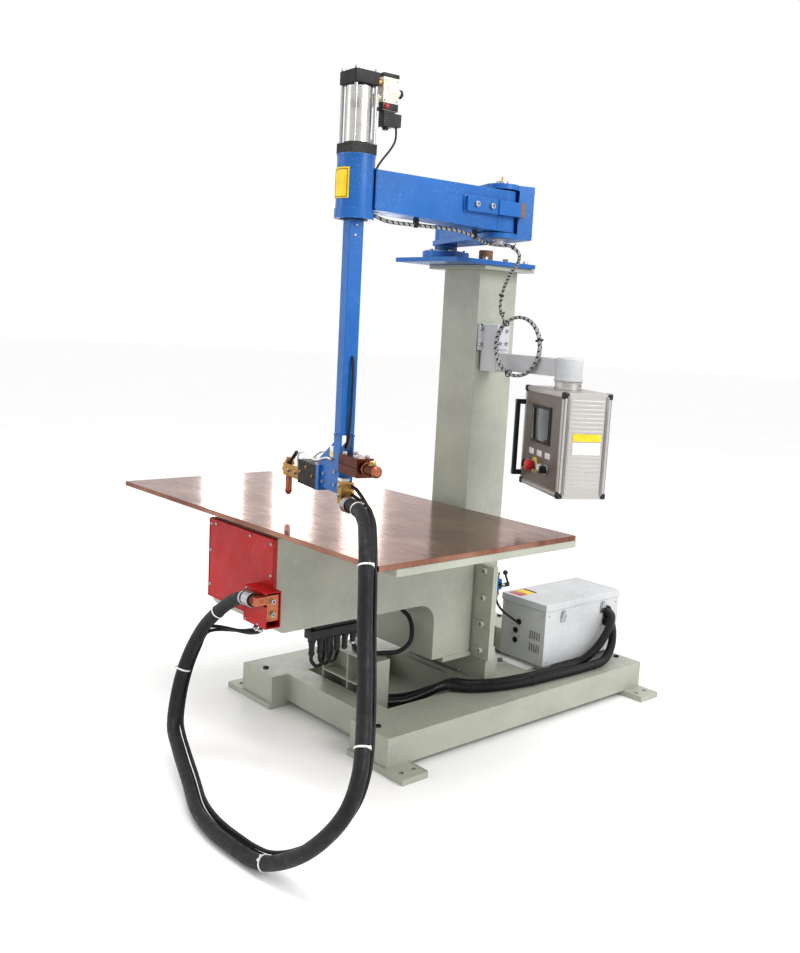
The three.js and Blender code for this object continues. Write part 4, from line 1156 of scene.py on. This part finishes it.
def head_details():
    spots = ((-4, 1006), (-4, 966), (-84, 988), (-90, 962))
    fasten("head_bracket_bolts", "steel", (cap_screw, (6, 5), [(x, -23, z) for x, z in spots], FRONT),
           (hex_bolt, (6, 5), [(x, 23, z) for x, z in spots], BACK),
           (pan_screw, (4.5, 3), [(23, 0, 1729), (23, -4, 1700)], RIGHT), body="ram", where=TOOL)

    label = Piece("head_label", "white_plastic", "ram", TOOL)
    label.add(block(-46, -22, -24.2, -22.6, 1046, 1080, 0.4))
    label.add(block(-43, -25, -24.7, -24, 1050, 1062, 0.3), finish=YELLOW_LABEL)
    label.done()

    beads = Piece("head_weld_beads", "blue_paint", "ram", TOOL)
    for y in (-23.4, 23.4):
        beads.bead((-22, y, 1116), (22, y, 1116), 2.6, 0.14)
        beads.bead((-104, y, 944), (-128, y, 1000), 2.4, 0.14)
    beads.bead((-24, -18, 1112), (-24, -18, 1096), 2.2, 0.14)
    beads.done()

    block_screws = Piece("insulator_screws", "steel", "ram", TOOL)
    spots = [(x, y, 1006) for x in (-146, -250) for y in (-20, 20)]
    block_screws.screws(cap_screw, (6, 6), spots, UP)
    block_screws.screws(cap_screw, (5, 5), [(-150, -33, 968), (-246, -33, 968), (-198, -33, 990)], FRONT,
                        "brass")
    for z in (931, 1003):
        block_screws.add(block(-268.6, -128, -33.6, 33.6, z, z + 2.4, 0.6), finish="insulator")
    block_screws.done()

    grip = Piece("electrode_clamp", "brass", "ram", TOOL)
    grip.add(ring(16, 11.2, 8, 1.2), at(-421, 0, 972))
    grip.add(ring(24, 20.6, 9, 1.5), at(-421, 0, 946))
    grip.screws(cap_screw, (5.5, 7), [(-385, -16, 951), (-330, -16, 951), (-290, -16, 951)], FRONT, "steel")
    # a near-black strip along the clamp's slit: painted shade inside it
    grip.add(block(-400, -372, -1, 1, 968, 973, 0.4), finish=GAP_SHADE_AND_DARK_PRINT)
    lever = [Vector(point) for point in ((-392, -12, 978), (-352, -16, 998), (-310, -22, 1022))]
    grip.add(swept(lever, 6, 12), finish="black_plastic")
    grip.add(drum(9, 12, 3), facing((-392, -12, 972), UP), "black_plastic")
    grip.done()
    tip = Piece("electrode_collar", "copper", "ram", TOOL)
    tip.add(turned([(0, 0), (9, 0), (11.8, 4), (11.8, 12), (0, 12)]), at(-421, 0, 868))
    tip.done()

    clamp = Piece("rod_clamp_screws", "copper", "ram", TOOL)
    spots = [(x, y, 1066) for x in (50, 124) for y in (-18, 18)]
    clamp.screws(cap_screw, (6.5, 8), spots, UP, "steel")
    # near-black strips along the clamp's slots: painted shade inside them
    clamp.add(block(148, 151.2, -27.4, 27.4, 1036.6, 1039.4, 0.6), finish=GAP_SHADE_AND_DARK_PRINT)
    clamp.add(block(22, 151, -27.6, -26.4, 1036.8, 1039.2, 0.4), finish=GAP_SHADE_AND_DARK_PRINT)
    clamp.add(turned([(0, 0), (17, 0), (17, 3), (12, 8), (0, 9.5)]), facing((220, 0, 1038), RIGHT))
    clamp.add(ring(20, 17.2, 9, 1.5), facing((160, 0, 1038), RIGHT))
    clamp.add(hex_bolt(9, 12), facing((196, 0, 1054), UP), "brass")
    clamp.done()

    terminal = Piece("cable_terminal_fittings", "brass", "ram", TOOL)
    terminal.add(ring(24, 20.8, 26, 1.5), facing((64, -13, 918), RIGHT), "steel")
    for z in (968, 944):
        terminal.add(hex_bolt(8, 9, False), facing((46, 8, z), RIGHT))
    terminal.add(block(24, 48, -1, 18, 936, 980, 2))
    terminal.screws(cap_screw, (5.5, 6), [(36, -26, 970), (36, -26, 940)], FRONT, "steel")
    terminal.add(block(22.8, 50.5, -27, 1, 984, 992, 1.5), finish="white_plastic")
    terminal.done()

    slot_tube = smooth_line([(24, 4, 1350), (29, 4, 1344), (33, 4, 1310), (34, 3, 1240), (33, 2, 1170),
                             (29, 1, 1120), (20, 0, 1092), (12, 0, 1080)], 3)
    cord("ram_air_hose", slot_tube, 8, "hose_rubber", "ram", where=TOOL)
    for side, name in ((-1, "near"), (1, "far")):
        loop = smooth_line([(-300, side * 18, 980), (-292, side * 24, 996), (-262, side * 34, 1024),
                            (-214, side * 38, 1036), (-160, side * 38, 1026), (-126, side * 34, 1024),
                            (-96, side * 28, 1032), (-60, side * 27, 1040), (-30, side * 27, 1040)], 2)
        cord(f"head_water_tube_{name}", loop, 6, "white_plastic", "ram", where=TOOL)
    nipples = Piece("water_tube_nipples", "brass", "ram", TOOL)
    for side in (-1, 1):
        nipples.add(hex_bolt(6, 8, False), facing((-300, side * 15, 972), Vector((0, side * 0.4, 1))))
        nipples.add(hex_bolt(5, 6, False), facing((-28, side * 23, 1040), Vector((0, side, 0))))
    nipples.done()


def cable_ties():
    fractions = {"ram": [0.03], "upper_arm": [0.128], "swing_link": [0.298], "base": [0.48, 0.83, 0.925]}
    ties("weld_cable_ties", "white_plastic", fractions, WELD_LINE, 21.4, 6)
    straps = Piece("conduit_straps", "black_plastic")
    for fraction in (0.22, 0.5):
        straps.add(ring(18.6, 16.6, 7), facing(*way_at(smooth_line(CONDUITS["conduit_b"]), fraction)))
    straps.done()


for details in (base_details, table_details, lower_front, manifold_details, jack_details, cabinet_details,
                hand_valve_details, panel_details, support_details, arm_details, link_details,
                cylinder_details, head_details, cable_ties):
    details()

# ---- floor and light ----


def floor():
    """A wide, flat, pale studio floor with a soft change of tone."""
    shape = turned([(0, 0), (3000, 0), (9000, 0), (40000, 0)], 64)
    shape.transform(at(0, 0, -0.6))
    finish = Finish("studio_floor", (0.985, 0.985, 0.985), 0.7)
    finish.cloud((0.97, 0.97, 0.97), 1.5, 3, 0.4, 0.7)
    finish.rough(finish.noise(6, 3), 0.45, 0.6)
    data = bpy.data.meshes.new("floor")
    shape.transform(Matrix.Scale(MM, 4))
    shape.to_mesh(data)
    shape.free()
    data.materials.append(finish.material)
    ground = bpy.data.objects.new("floor", data)
    bpy.context.scene.collection.objects.link(ground)


def lamp(name, place, aim, size, power):
    data = bpy.data.lights.new(name, "AREA")
    data.shape = "RECTANGLE"
    data.size, data.size_y = size
    data.energy = power
    light = bpy.data.objects.new(name, data)
    light.visible_camera = False
    light.matrix_world = facing(Vector(place), Vector(place) - Vector(aim))
    bpy.context.scene.collection.objects.link(light)


def studio():
    world = bpy.data.worlds.new("studio")
    world.use_nodes = True
    background = world.node_tree.nodes["Background"]
    background.inputs["Color"].default_value = (1, 1, 1, 1)
    background.inputs["Strength"].default_value = 1.0
    bpy.context.scene.world = world
    lamp("key", (4.2, 0.6, 3.6), (0, 0, 1), (2.4, 2.4), 110)
    lamp("top", (0.3, -1.2, 4.6), (0, -0.3, 0.8), (3.2, 1.2), 60)
    lamp("fill", (-2.6, -4.2, 2.2), (0, -0.2, 1), (2.0, 2.0), 20)
    for index in range(3):
        place = (-3.9 + 0.35 * index, 1.5 + 0.42 * index, 1.5)
        lamp(f"window_{index}", place, (-0.5, -0.3, 0.8), (0.3, 1.0), 3)
    bpy.context.scene.view_settings.view_transform = "Standard"
    bpy.context.scene.view_settings.gamma = 0.82


floor()
studio()
